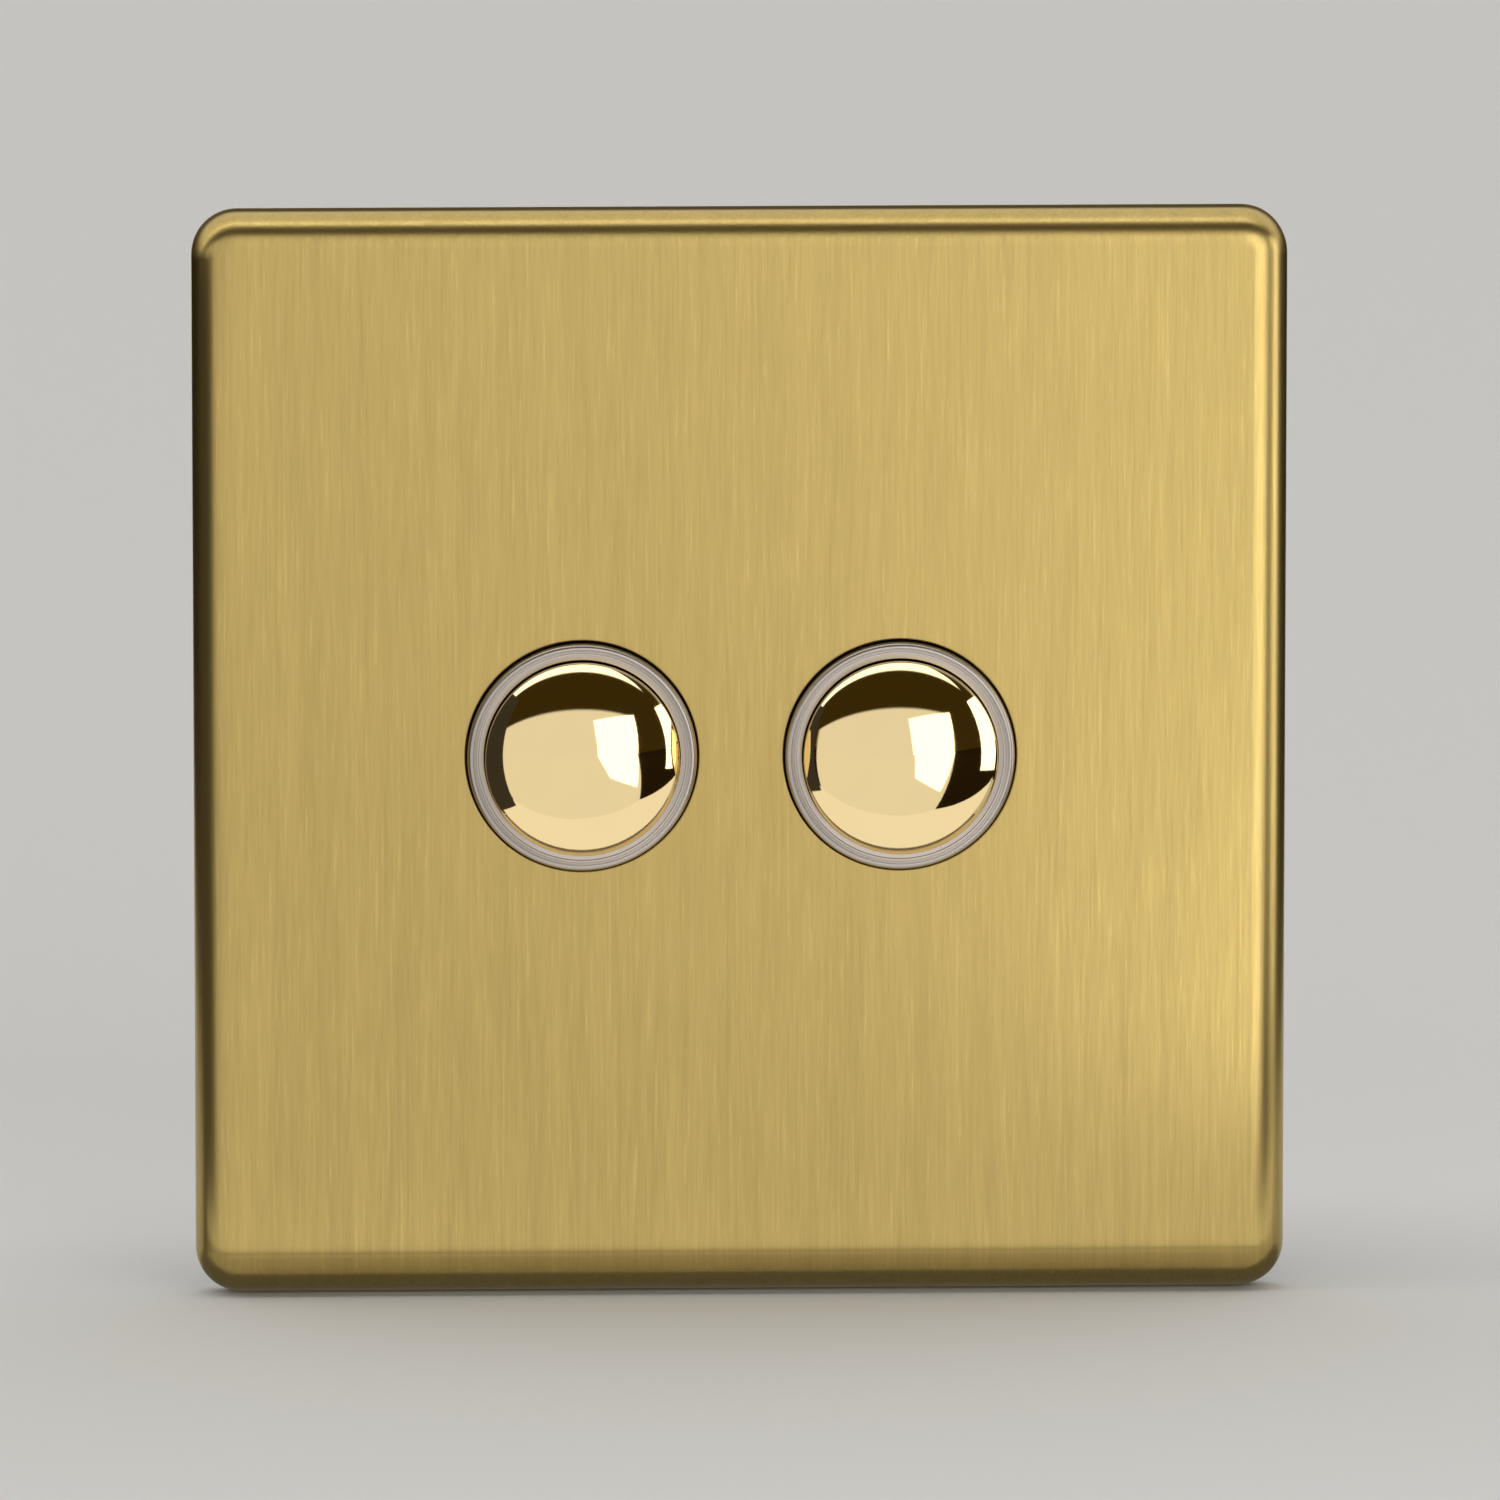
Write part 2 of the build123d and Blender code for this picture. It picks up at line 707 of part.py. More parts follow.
def hook_tab(x, up):
    """The tab of the cover that reaches over the base's end wall, with a window for the catch."""
    wall_z = module_height / 2 - hook_bite
    outer_z = hook_z + hook_thickness
    root_y = cover_rear_y - hook_root
    with BuildPart() as tab:
        with BuildSketch(Plane.YZ.offset(x - hook_width / 2)):
            with BuildLine():
                Polyline(
                    (root_y, up * wall_z),
                    (root_y + hook_thickness, up * outer_z),
                    (hook_tip_y, up * outer_z),
                    (hook_tip_y, up * hook_z),
                    (cover_rear_y, up * hook_z),
                    (cover_rear_y, up * wall_z),
                    close=True,
                )
            make_face()
        extrude(amount=hook_width)
        with BuildSketch(facing(hook_window_rear_y, x)):
            with Locations((0, up * (hook_z + hook_thickness / 2))):
                Rectangle(hook_window_width, 2 * hook_thickness)
        extrude(amount=hook_window_length, mode=Mode.SUBTRACT)
    return tab.part


def hook_catch(x, up):
    """The wedge of the base that a tab closes over: ramped in front and steep at the rear."""
    wall_z = module_height / 2 - hook_bite
    catch_rear_y = hook_window_rear_y - catch_gap
    width = hook_window_width - 2 * catch_gap
    with BuildPart() as catch:
        with BuildSketch(Plane.YZ.offset(x - width / 2)):
            with BuildLine():
                Polyline(
                    (catch_rear_y - catch_length, up * wall_z),
                    (catch_rear_y, up * (hook_z + catch_rise)),
                    (catch_rear_y, up * wall_z),
                    close=True,
                )
            make_face()
        extrude(amount=width)
    return catch.part


def make_module_cover(x):
    """The front half shell: it takes the collar, and its rails keep the plunger from turning."""
    tabs = [hook_tab(x, up) for up in (-1, 1)]
    with BuildPart() as cover:
        with BuildSketch(facing(cover_rear_y, x)):
            RectangleRounded(module_width, module_height, module_corner_radius)
        extrude(amount=cover_rear_y - grid_rear_y)
        with BuildSketch(facing(cover_rear_y, x)):
            Rectangle(module_inner_width, 2 * bay_half_height)
        extrude(amount=cover_length, mode=Mode.SUBTRACT)
        mouth = 2 * (tongue_thickness + tongue_gap)
        with BuildSketch(facing(cover_rear_y, x)):
            Rectangle(module_inner_width + mouth, 2 * bay_half_height + mouth)
        extrude(amount=tongue_length + tongue_gap, mode=Mode.SUBTRACT)
        with BuildSketch(facing(cover_wall_rear_y, x)):
            Circle(collar_hole_radius)
        extrude(amount=cover_front_wall, mode=Mode.SUBTRACT)
        with BuildSketch(facing(grid_rear_y, x)):
            with Locations((0, -pip_height_above_centre), (0, pip_height_above_centre)):
                Circle(pip_diameter / 2)
        extrude(amount=pip_length)
        rail_x = wing_width / 2 + rail_gap + rail_width / 2
        rail_front_z = rail_inner_z + collar_fit
        rail_z = (rail_front_z + rail_outer_z) / 2
        with BuildSketch(facing(bearing_front_y, x)):
            with Locations(*[(i * rail_x, j * rail_z) for i in (-1, 1) for j in (-1, 1)]):
                Rectangle(rail_width, rail_outer_z - rail_front_z)
        extrude(amount=bearing_front_y - cover_wall_rear_y)
        add(tabs)
    return cover.part


def make_module_base(x):
    """The rear half shell: bearing ledges, rotor chamber, and a bay for each terminal."""
    terminal_points = [(i * terminal_x, j * terminal_z) for i, j in quadrants.values()]
    wall_middle_z = chamber_half_height + cross_wall / 2
    strip_points = [(i * pad_offset, j * wall_middle_z) for i, j in quadrants.values()]
    catches = [hook_catch(x, up) for up in (-1, 1)]
    with BuildPart() as base:
        with BuildSketch(facing(module_rear_y, x)):
            RectangleRounded(module_width, module_height, module_corner_radius)
        extrude(amount=module_rear_y - cover_rear_y)
        fillet(base.edges().group_by(Axis.Y)[-1], rear_edge_radius)
        add(catches)
        with BuildSketch(facing(cover_rear_y, x)):
            Rectangle(module_inner_width + 2 * tongue_thickness, 2 * (bay_half_height + tongue_thickness))
        extrude(amount=tongue_length)
        with BuildSketch(facing(floor_y, x)):
            Rectangle(module_inner_width, 2 * bay_half_height)
        extrude(amount=floor_y - cover_rear_y + tongue_length, mode=Mode.SUBTRACT)
        with BuildSketch(facing(floor_y, x)):
            with GridLocations(0, 2 * chamber_half_height + cross_wall, 1, 2):
                Rectangle(module_inner_width, cross_wall)
            with GridLocations(0, 2 * terminal_z, 1, 2):
                Rectangle(bay_divider, terminal_bay)
        extrude(amount=floor_y - bearing_rear_y)
        with BuildSketch(facing(floor_y, x)):
            with Locations(*terminal_points):
                Rectangle(module_inner_width / 2 - bay_divider / 2, terminal_rib_width)
                Rectangle(terminal_width + 2 * terminal_side_gap, terminal_rib_width, mode=Mode.SUBTRACT)
        extrude(amount=floor_y - terminal_front_y)
        with BuildSketch(facing(floor_y, x)):
            with Locations(*strip_points):
                Rectangle(strip_width + 2 * strip_notch_gap, cross_wall)
        extrude(amount=strip_thickness + strip_notch_gap, mode=Mode.SUBTRACT)
        with BuildSketch(facing(floor_y, x)):
            Circle(journal_radius + journal_fit + journal_boss_wall)
        extrude(amount=floor_y - rotor_hub_rear_y - axial_play)
        with BuildSketch(facing(journal_pocket_y, x)):
            Circle(journal_radius + journal_fit)
        extrude(amount=journal_pocket_y - rotor_hub_rear_y, mode=Mode.SUBTRACT)
        notch_radius = cable_bore_radius + cable_notch_gap
        notch_length = cable_y - cover_rear_y + tongue_length
        for end_z in (-module_height / 2, bay_half_height - tongue_thickness):
            with BuildSketch(Plane.XY.offset(end_z)):
                with Locations((x - terminal_x, cable_y), (x + terminal_x, cable_y)):
                    Circle(notch_radius)
                    Rectangle(2 * notch_radius, notch_length, align=(Align.CENTER, Align.MAX))
            extrude(amount=module_wall + tongue_thickness, mode=Mode.SUBTRACT)
        funnel = rear_wall * tan(radians(screw_access_taper))
        with BuildSketch(facing(module_rear_y, x)):
            with Locations(*terminal_points):
                Circle(screw_radius + screw_access_gap + funnel)
        extrude(amount=rear_wall, taper=screw_access_taper, mode=Mode.SUBTRACT)
    return base.part


def build_all():
    os.makedirs("parts", exist_ok=True)
    save(make_front_plate(), "front_plate")
    save(make_clip_frame(), "clip_frame")
    save(make_wall_gasket(), "wall_gasket")
    save(make_grid_plate(), "grid_plate")
    save(make_earth_terminal(), "earth_terminal")
    earth_tip_y = grid_rear_y + cable_bore_wall + 2 * earth_bore_radius + screw_tip_gap
    earth_head_y = grid_rear_y + earth_depth + earth_screw_proud
    earth_point = (0, -earth_below_centre)
    save(make_slotted_screws([earth_point], earth_tip_y, earth_head_y), "earth_screw")
    screw_tip_y = cable_y + cable_bore_radius + screw_tip_gap
    screw_head_y = module_rear_y - screw_recess
    for side, x in sides.items():
        save(make_collar(x), f"collar_{side}")
        save(make_ring_nut(x), f"ring_nut_{side}")
        save(make_button_cap(x), f"button_cap_{side}")
        save(make_plunger(x), f"plunger_{side}")
        save(make_return_spring(x), f"return_spring_{side}")
        save(make_bearing_plate(x), f"bearing_plate_{side}")
        save(make_driver(x), f"driver_{side}")
        save(make_rotor(x), f"rotor_{side}")
        for place, up in {"upper": 1, "lower": -1}.items():
            save(make_bridge_contact(x, up), f"bridge_contact_{side}_{place}")
            save(make_contact_spring(x, up), f"contact_spring_{side}_{place}")
        for number, quadrant in quadrants.items():
            save(make_fixed_contact(x, quadrant), f"fixed_contact_{side}_{number}")
            save(make_terminal(x, quadrant), f"terminal_{side}_{number}")
        screw_points = [(x + i * terminal_x, j * terminal_z) for i, j in quadrants.values()]
        save(make_slotted_screws(screw_points, screw_tip_y, screw_head_y), f"terminal_screws_{side}")
        save(make_module_cover(x), f"module_cover_{side}")
        save(make_module_base(x), f"module_base_{side}")


build_all()
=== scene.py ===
import json
from math import asin, cos, pi, radians, sin

import bmesh
import bpy
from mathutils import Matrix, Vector


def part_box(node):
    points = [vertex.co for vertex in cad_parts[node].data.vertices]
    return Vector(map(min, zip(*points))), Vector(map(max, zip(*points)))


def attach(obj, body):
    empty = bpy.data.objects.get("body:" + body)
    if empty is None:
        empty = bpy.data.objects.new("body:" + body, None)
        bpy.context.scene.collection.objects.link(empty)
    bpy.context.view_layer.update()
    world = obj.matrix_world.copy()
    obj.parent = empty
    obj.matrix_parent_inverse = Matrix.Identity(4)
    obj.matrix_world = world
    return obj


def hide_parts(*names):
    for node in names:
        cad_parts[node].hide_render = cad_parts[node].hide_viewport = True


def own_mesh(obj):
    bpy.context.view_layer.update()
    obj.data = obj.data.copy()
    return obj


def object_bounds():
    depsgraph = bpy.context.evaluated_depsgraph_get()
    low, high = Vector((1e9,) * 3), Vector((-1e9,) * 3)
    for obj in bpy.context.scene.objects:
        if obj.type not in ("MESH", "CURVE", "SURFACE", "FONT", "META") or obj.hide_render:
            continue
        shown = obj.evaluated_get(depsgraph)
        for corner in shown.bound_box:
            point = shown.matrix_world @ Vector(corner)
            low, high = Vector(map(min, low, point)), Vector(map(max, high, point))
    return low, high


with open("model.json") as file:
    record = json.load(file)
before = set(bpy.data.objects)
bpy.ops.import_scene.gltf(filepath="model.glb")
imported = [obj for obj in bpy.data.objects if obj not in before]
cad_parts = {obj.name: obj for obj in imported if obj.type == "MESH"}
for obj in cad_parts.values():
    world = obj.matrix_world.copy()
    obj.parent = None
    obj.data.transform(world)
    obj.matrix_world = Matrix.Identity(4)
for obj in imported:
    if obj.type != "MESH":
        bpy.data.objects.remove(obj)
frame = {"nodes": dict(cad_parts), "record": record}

bl_info = {
    "name": "Brass push switch",
    "version": (1, 0, 0),
    "blender": (4, 5, 0),
    "location": "3D View > Sidebar > Push switch",
    "description": "Finishes, fine pieces and stage of a two gang push switch on a brushed brass plate",
    "category": "Object",
}

MM = 0.001
SIDES = ("left", "right")
CAD_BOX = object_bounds()
FLOOR_Z = CAD_BOX[0].z - 0.15 * MM
ROUND_STEPS = 128

# The studio that the metal mirrors: a dark room, and its lit parts by azimuth and by pitch in degrees
STUDIO_DARK = (0.04, 0.027, 0.005)
BACKDROP = (0.55, 0.54, 0.52)
PANEL_LIGHT = 0.86
WINDOW_LIGHT = 2.4
LAMP_LIGHT = 1.4
CARD_BLACK = (0.02, 0.012, 0.004)
ALL_ROUND = (-200, 200)
STUDIO_ZONES = (
    ("sky over the rear", (1.0, 1.0, 1.0), ALL_ROUND, (86, 150), 4.0),
    ("front panel", (PANEL_LIGHT,) * 3, (-74, 48), (-90, 39), 1.5),
    ("strip light", (2.0, 2.0, 2.0), (-200, 75), (74, 90), 1.0),
)
# Degrees to the right of the front, degrees up and metres away, then the width and height in metres
WINDOW = (30, 15, 0.6, 0.396, 0.34)
STRIP = (81, 8, 0.152, 0.042, 0.124)


def linear(red, green, blue):
    """A display colour from 0 to 255 as the linear colour that a shader wants."""
    shares = [value / 255 for value in (red, green, blue)]
    return tuple(s / 12.92 if s <= 0.04045 else ((s + 0.055) / 1.055) ** 2.4 for s in shares)


def centre_x(side):
    """The X of a module's axis, read from the collar of the frame."""
    low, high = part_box(f"collar_{side}")
    return (low.x + high.x) / 2


def length(name, description, millimetres):
    return bpy.props.FloatProperty(
        name=name, description=description, default=millimetres * MM, unit="LENGTH"
    )


def tint(name, description, *display):
    return bpy.props.FloatVectorProperty(
        name=name, description=description, subtype="COLOR", default=linear(*display)
    )


class SwitchSizes(bpy.types.PropertyGroup):
    plate_corner: length("Plate corner", "Radius of the plate's corners", 3.6)
    plate_edge: length("Rolled edge", "Outer radius of the rolled front edge", 2.7)
    plate_sheet: length("Sheet", "Thickness of the brass sheet", 1.0)
    hole_radius: length("Button hole", "Radius of the plate's button holes", 9.175)
    hole_break: length("Hole edge", "Rounding of the hole's front edge", 0.12)
    dome_height: length("Dome height", "Rise of the domed front of a cap", 3.2)
    cap_wall: length("Cap wall", "Thickness of a cap's shell", 0.5)
    collar_bore: length("Collar bore", "Inner radius of a collar", 7.85)
    collar_radius: length("Collar radius", "Outer radius of a collar's barrel", 9.025)
    collar_lip_width: length("Lip width", "Width of the step inside a collar's front", 0.32)
    collar_lip_drop: length("Lip drop", "Depth of the step inside a collar's front", 0.22)
    collar_wiper: length("Wiper", "Reach of the thin lip that closes the gap round a button", 0.12)
    collar_edge: length("Collar edge", "Rounding of a collar's outer front edge", 0.45)
    collar_guide_step: length("Guide step", "How far a collar's rear guide stands in", 0.3)
    collar_flange: length("Flange", "Thickness of a collar's flange", 1.4)
    flange_notch: length("Flange notch", "Width of the two notches in a collar's flange", 6.4)
    notch_gap: length("Notch gap", "Height of a notch's floor over the barrel", 0.1)
    cover_wall: length("Cover wall", "Front wall of a module cover", 1.8)
    groove_pitch: length("Groove pitch", "Distance of the grooves on a collar's face", 0.15)
    groove_depth: length("Groove depth", "Depth of the turned grooves", 0.04)
    thread_pitch: length("Thread pitch", "Pitch of a collar's thread", 0.75)
    thread_depth: length("Thread depth", "Depth of a collar's thread", 0.3)
    spring_wire: length("Spring wire", "Diameter of the return springs' wire", 0.7)
    travel: length("Travel", "How far a button goes in", 3.0)


class SwitchColours(bpy.types.PropertyGroup):
    plate: tint("Plate", "Brushed brass", 192, 167, 102)
    dome: tint("Domes", "Polished brass", 247, 222, 166)
    collar: tint("Collars", "Satin nickel grey", 186, 177, 168)
    floor: tint("Floor", "Plain pale floor", 222, 221, 218)


def sizes():
    return bpy.context.scene.switch_sizes


def colours():
    return bpy.context.scene.switch_colours


def add_node(tree, kind, **settings):
    """One node of a tree. Names of its own settings set those, and other names set its inputs."""
    node = tree.nodes.new(kind)
    for name, value in settings.items():
        if hasattr(node, name):
            setattr(node, name, value)
        else:
            node.inputs[name.replace("_", " ")].default_value = value
    return node


def new_group(name, inputs, outputs):
    """An empty shader node group. inputs maps a name to its type and default, outputs to a type."""
    group = bpy.data.node_groups.new(name, "ShaderNodeTree")
    for label, (kind, default) in inputs.items():
        socket = group.interface.new_socket(label, in_out="INPUT", socket_type=kind)
        socket.default_value = default
    for label, kind in outputs.items():
        group.interface.new_socket(label, in_out="OUTPUT", socket_type=kind)
    return group, group.nodes.new("NodeGroupInput"), group.nodes.new("NodeGroupOutput")


def number(tree, operation, first, second=None):
    """The result of a sum on sockets or plain numbers."""
    node = add_node(tree, "ShaderNodeMath", operation=operation)
    for i, source in enumerate((first, second)):
        if isinstance(source, (int, float)):
            node.inputs[i].default_value = source
        elif source is not None:
            tree.links.new(source, node.inputs[i])
    return node.outputs[0]


def coordinates(tree, kind):
    """The X, Y and Z of the place or direction that is shaded."""
    place = add_node(tree, "ShaderNodeTexCoord")
    split = add_node(tree, "ShaderNodeSeparateXYZ")
    tree.links.new(place.outputs[kind], split.inputs[0])
    return split.outputs


def joined(tree, **parts):
    """A vector from the sockets that are given for its X, Y and Z."""
    node = add_node(tree, "ShaderNodeCombineXYZ")
    for axis, part in parts.items():
        tree.links.new(part, node.inputs[axis])
    return node.outputs[0]


def noise(tree, vector, scale, **settings):
    node = add_node(tree, "ShaderNodeTexNoise", **settings)
    tree.links.new(vector, node.inputs["Vector"])
    tree.links.new(scale, node.inputs["Scale"])
    return node.outputs["Fac"]


def relief(tree, height, depth):
    """The normal of a surface that rises with the mask."""
    bump = add_node(tree, "ShaderNodeBump", Strength=1.0)
    tree.links.new(height, bump.inputs["Height"])
    tree.links.new(depth, bump.inputs["Distance"])
    return bump.outputs["Normal"]


def grain_group():
    """Straight brushed grain along Z: a mask of fine lines, a mask of bright streaks, and a normal."""
    group, given, made = new_group(
        "brushed_grain",
        {
            "Lines per metre": ("NodeSocketFloat", 7000.0),
            "Stretch": ("NodeSocketFloat", 0.016),
            "Streak amount": ("NodeSocketFloat", 0.5),
            "Depth": ("NodeSocketFloat", 0.02 * MM),
        },
        {"Lines": "NodeSocketFloat", "Streaks": "NodeSocketFloat", "Normal": "NodeSocketVector"},
    )
    coarse_share = 0.23
    link = group.links.new
    place = coordinates(group, "Object")
    squeezed = number(group, "MULTIPLY", place["Z"], given.outputs["Stretch"])
    along = joined(group, X=place["X"], Y=place["Y"], Z=squeezed)
    lines_per_metre = given.outputs["Lines per metre"]
    fine = noise(group, along, lines_per_metre, Detail=3.0, Roughness=0.65)
    coarse_scale = number(group, "MULTIPLY", lines_per_metre, coarse_share)
    coarse = noise(group, along, coarse_scale, Detail=4.0, Roughness=0.7)
    lines = add_node(group, "ShaderNodeMapRange", From_Min=0.7, From_Max=1.3)
    link(number(group, "ADD", fine, coarse), lines.inputs["Value"])
    streaks = add_node(group, "ShaderNodeMapRange", From_Min=0.60, From_Max=0.78)
    link(fine, streaks.inputs["Value"])
    amount = number(group, "MULTIPLY", streaks.outputs[0], given.outputs["Streak amount"])
    link(lines.outputs[0], made.inputs["Lines"])
    link(amount, made.inputs["Streaks"])
    link(relief(group, lines.outputs[0], given.outputs["Depth"]), made.inputs["Normal"])
    return group


def turning_group():
    """Fine rings about each module's axis, as left by a lathe: a mask and a normal."""
    group, given, made = new_group(
        "turned_rings",
        {
            "Rings per metre": ("NodeSocketFloat", 6000.0),
            "Centre": ("NodeSocketFloat", 12.5 * MM),
            "Depth": ("NodeSocketFloat", 0.01 * MM),
        },
        {"Rings": "NodeSocketFloat", "Normal": "NodeSocketVector"},
    )
    link = group.links.new
    place = coordinates(group, "Object")
    side = number(group, "ABSOLUTE", place["X"])
    across = number(group, "SUBTRACT", side, given.outputs["Centre"])
    radius = add_node(group, "ShaderNodeVectorMath", operation="LENGTH")
    link(joined(group, X=across, Z=place["Z"]), radius.inputs[0])
    line = joined(group, X=radius.outputs["Value"], Y=place["Y"])
    rings = noise(group, line, given.outputs["Rings per metre"], Detail=3.0, Roughness=0.6)
    link(rings, made.inputs["Rings"])
    link(relief(group, rings, given.outputs["Depth"]), made.inputs["Normal"])
    return group


def mottle_group():
    """Uneven patches and fine grains, for moulded and plated surfaces: a mask and a normal."""
    group, given, made = new_group(
        "surface_mottle",
        {
            "Patches per metre": ("NodeSocketFloat", 400.0),
            "Grains per metre": ("NodeSocketFloat", 6000.0),
            "Depth": ("NodeSocketFloat", 0.01 * MM),
        },
        {"Patches": "NodeSocketFloat", "Normal": "NodeSocketVector"},
    )
    place = add_node(group, "ShaderNodeTexCoord").outputs["Object"]
    patches = noise(group, place, given.outputs["Patches per metre"], Detail=3.0)
    grains = noise(group, place, given.outputs["Grains per metre"], Detail=2.0)
    group.links.new(patches, made.inputs["Patches"])
    group.links.new(relief(group, grains, given.outputs["Depth"]), made.inputs["Normal"])
    return group


def group_once(name, build):
    return bpy.data.node_groups.get(name) or build()


def new_material(name, metallic, colour=None):
    """A material, the tree of its nodes and its Principled shader."""
    material = bpy.data.materials.new(name)
    material.use_nodes = True
    tree = material.node_tree
    shader = tree.nodes["Principled BSDF"]
    shader.inputs["Metallic"].default_value = metallic
    if colour is not None:
        shader.inputs["Base Color"].default_value = (*colour, 1)
    return material, tree, shader


def effect(tree, name, build, **values):
    node = tree.nodes.new("ShaderNodeGroup")
    node.node_tree = group_once(name, build)
    for label, value in values.items():
        node.inputs[label.replace("_", " ")].default_value = value
    return node


def mixed_colour(tree, mask, low, high):
    """A colour that goes from low to high with the mask."""
    mix = add_node(tree, "ShaderNodeMix", data_type="RGBA")
    mix.inputs["A"].default_value = (*low, 1)
    mix.inputs["B"].default_value = (*high, 1)
    tree.links.new(mask, mix.inputs["Factor"])
    return mix.outputs["Result"]


def mapped(tree, mask, low, high):
    """A number that goes from low to high with the mask."""
    span = add_node(tree, "ShaderNodeMapRange", To_Min=low, To_Max=high)
    tree.links.new(mask, span.inputs["Value"])
    return span.outputs["Result"]


def shade(colour, factor):
    return tuple(value * factor for value in colour)


def brushed_brass(name, colour):
    """Brass brushed up and down, whose highlight spreads across the grain."""
    line_low, line_high, streak = 0.86, 1.06, 1.35
    rough_low, rough_high = 0.34, 0.28
    material, tree, shader = new_material(name, 1.0)
    grain = effect(
        tree, "brushed_grain", grain_group, Lines_per_metre=4200.0, Stretch=0.04, Depth=0.004 * MM
    )
    link = tree.links.new
    low, high = shade(colour, line_low), shade(colour, line_high)
    bright = add_node(tree, "ShaderNodeMix", data_type="RGBA")
    bright.inputs["B"].default_value = (*shade(colour, streak), 1)
    link(mixed_colour(tree, grain.outputs["Lines"], low, high), bright.inputs["A"])
    link(grain.outputs["Streaks"], bright.inputs["Factor"])
    link(bright.outputs["Result"], shader.inputs["Base Color"])
    link(mapped(tree, grain.outputs["Lines"], rough_low, rough_high), shader.inputs["Roughness"])
    link(grain.outputs["Normal"], shader.inputs["Normal"])
    shader.inputs["Anisotropic"].default_value = 0.4
    across = add_node(tree, "ShaderNodeTangent", direction_type="UV_MAP", uv_map="grain")
    link(across.outputs["Tangent"], shader.inputs["Tangent"])
    return material


def dress(tree, shader, node, mask, low, high, roughness):
    """Colour and gloss that follow one mask of a group, with the relief of the group."""
    link = tree.links.new
    link(mixed_colour(tree, node.outputs[mask], low, high), shader.inputs["Base Color"])
    link(mapped(tree, node.outputs[mask], *roughness), shader.inputs["Roughness"])
    link(node.outputs["Normal"], shader.inputs["Normal"])


def polished_brass(name, colour):
    material, tree, shader = new_material(name, 1.0)
    mottle = effect(
        tree,
        "surface_mottle",
        mottle_group,
        Patches_per_metre=300.0,
        Grains_per_metre=2500.0,
        Depth=0.0004 * MM,
    )
    dress(tree, shader, mottle, "Patches", shade(colour, 0.97), colour, (0.03, 0.06))
    return material


def satin_metal(name, colour, rough_low, rough_high):
    """Turned and satin finished metal, with fine rings about the module's axis."""
    material, tree, shader = new_material(name, 1.0)
    rings = effect(tree, "turned_rings", turning_group, Rings_per_metre=9000.0, Depth=0.008 * MM)
    low, high = shade(colour, 0.85), shade(colour, 1.12)
    dress(tree, shader, rings, "Rings", low, high, (rough_low, rough_high))
    shader.inputs["Anisotropic"].default_value = 0.8
    around = add_node(tree, "ShaderNodeTangent", direction_type="RADIAL", axis="Y")
    tree.links.new(around.outputs["Tangent"], shader.inputs["Tangent"])
    return material


def mottled(name, metallic, colour, rough_low, rough_high, spread, grains=6000.0, depth=0.002 * MM):
    """A moulded or plated surface: its colour, gloss and height all vary a little."""
    material, tree, shader = new_material(name, metallic)
    mottle = effect(tree, "surface_mottle", mottle_group, Grains_per_metre=grains, Depth=depth)
    low, high = shade(colour, 1 - spread), shade(colour, 1 + spread)
    dress(tree, shader, mottle, "Patches", low, high, (rough_low, rough_high))
    return material


def finish_for(slot):
    """The material of one of the record's slots, made when it is first asked for."""
    name = f"{slot}_finish"
    found = bpy.data.materials.get(name)
    if found:
        return found
    c = colours()
    makers = {
        "plate_brass": lambda: brushed_brass(name, c.plate),
        "cap_brass": lambda: polished_brass(name, c.dome),
        "collar_satin": lambda: satin_metal(name, c.collar, 0.28, 0.42),
        "nut_nickel": lambda: satin_metal(name, linear(186, 184, 178), 0.22, 0.34),
        "zinc_steel": lambda: mottled(name, 1.0, linear(186, 190, 194), 0.28, 0.45, 0.10),
        "clip_black": lambda: mottled(name, 0.0, linear(36, 36, 38), 0.45, 0.6, 0.15),
        "housing_white": lambda: mottled(name, 0.0, linear(232, 230, 223), 0.35, 0.5, 0.02),
        "plunger_natural": lambda: mottled(name, 0.0, linear(222, 217, 203), 0.35, 0.5, 0.03),
        "spring_steel": lambda: mottled(name, 1.0, linear(190, 190, 192), 0.2, 0.35, 0.06),
        "contact_copper": lambda: mottled(name, 1.0, linear(196, 142, 104), 0.25, 0.4, 0.08),
        "terminal_brass": lambda: mottled(name, 1.0, linear(206, 176, 108), 0.25, 0.4, 0.08),
        "screw_steel": lambda: mottled(name, 1.0, linear(190, 190, 188), 0.3, 0.45, 0.08),
        "gasket_rubber": lambda: mottled(
            name, 0.0, linear(52, 52, 52), 0.7, 0.85, 0.1, grains=3000.0, depth=0.02 * MM
        ),
    }
    return makers[slot]()


def slot_of(node):
    for row in frame["record"]["subparts"]:
        if row["node"] == node:
            return row["material_slot"]
    raise RuntimeError(f"no slot is given for {node}")


def body_of_node(node):
    for body, nodes in frame["record"]["behaviour"]["bodies"].items():
        if node in nodes:
            return body
    raise RuntimeError(f"no body is given for {node}")


def new_piece(name, mesh_source, *nodes):
    """A finished piece that stands for the given nodes, and takes its body and slot from them."""
    mesh = bpy.data.meshes.new(name)
    bmesh.ops.remove_doubles(mesh_source, verts=mesh_source.verts, dist=1e-7)
    bmesh.ops.recalc_face_normals(mesh_source, faces=mesh_source.faces)
    mesh_source.to_mesh(mesh)
    mesh_source.free()
    piece = bpy.data.objects.new(name, mesh)
    bpy.context.scene.collection.objects.link(piece)
    slot = slot_of(nodes[0])
    mesh.materials.append(finish_for(slot))
    for face in mesh.polygons:
        face.use_smooth = True
    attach(piece, body_of_node(nodes[0]))
    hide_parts(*nodes)
    return piece


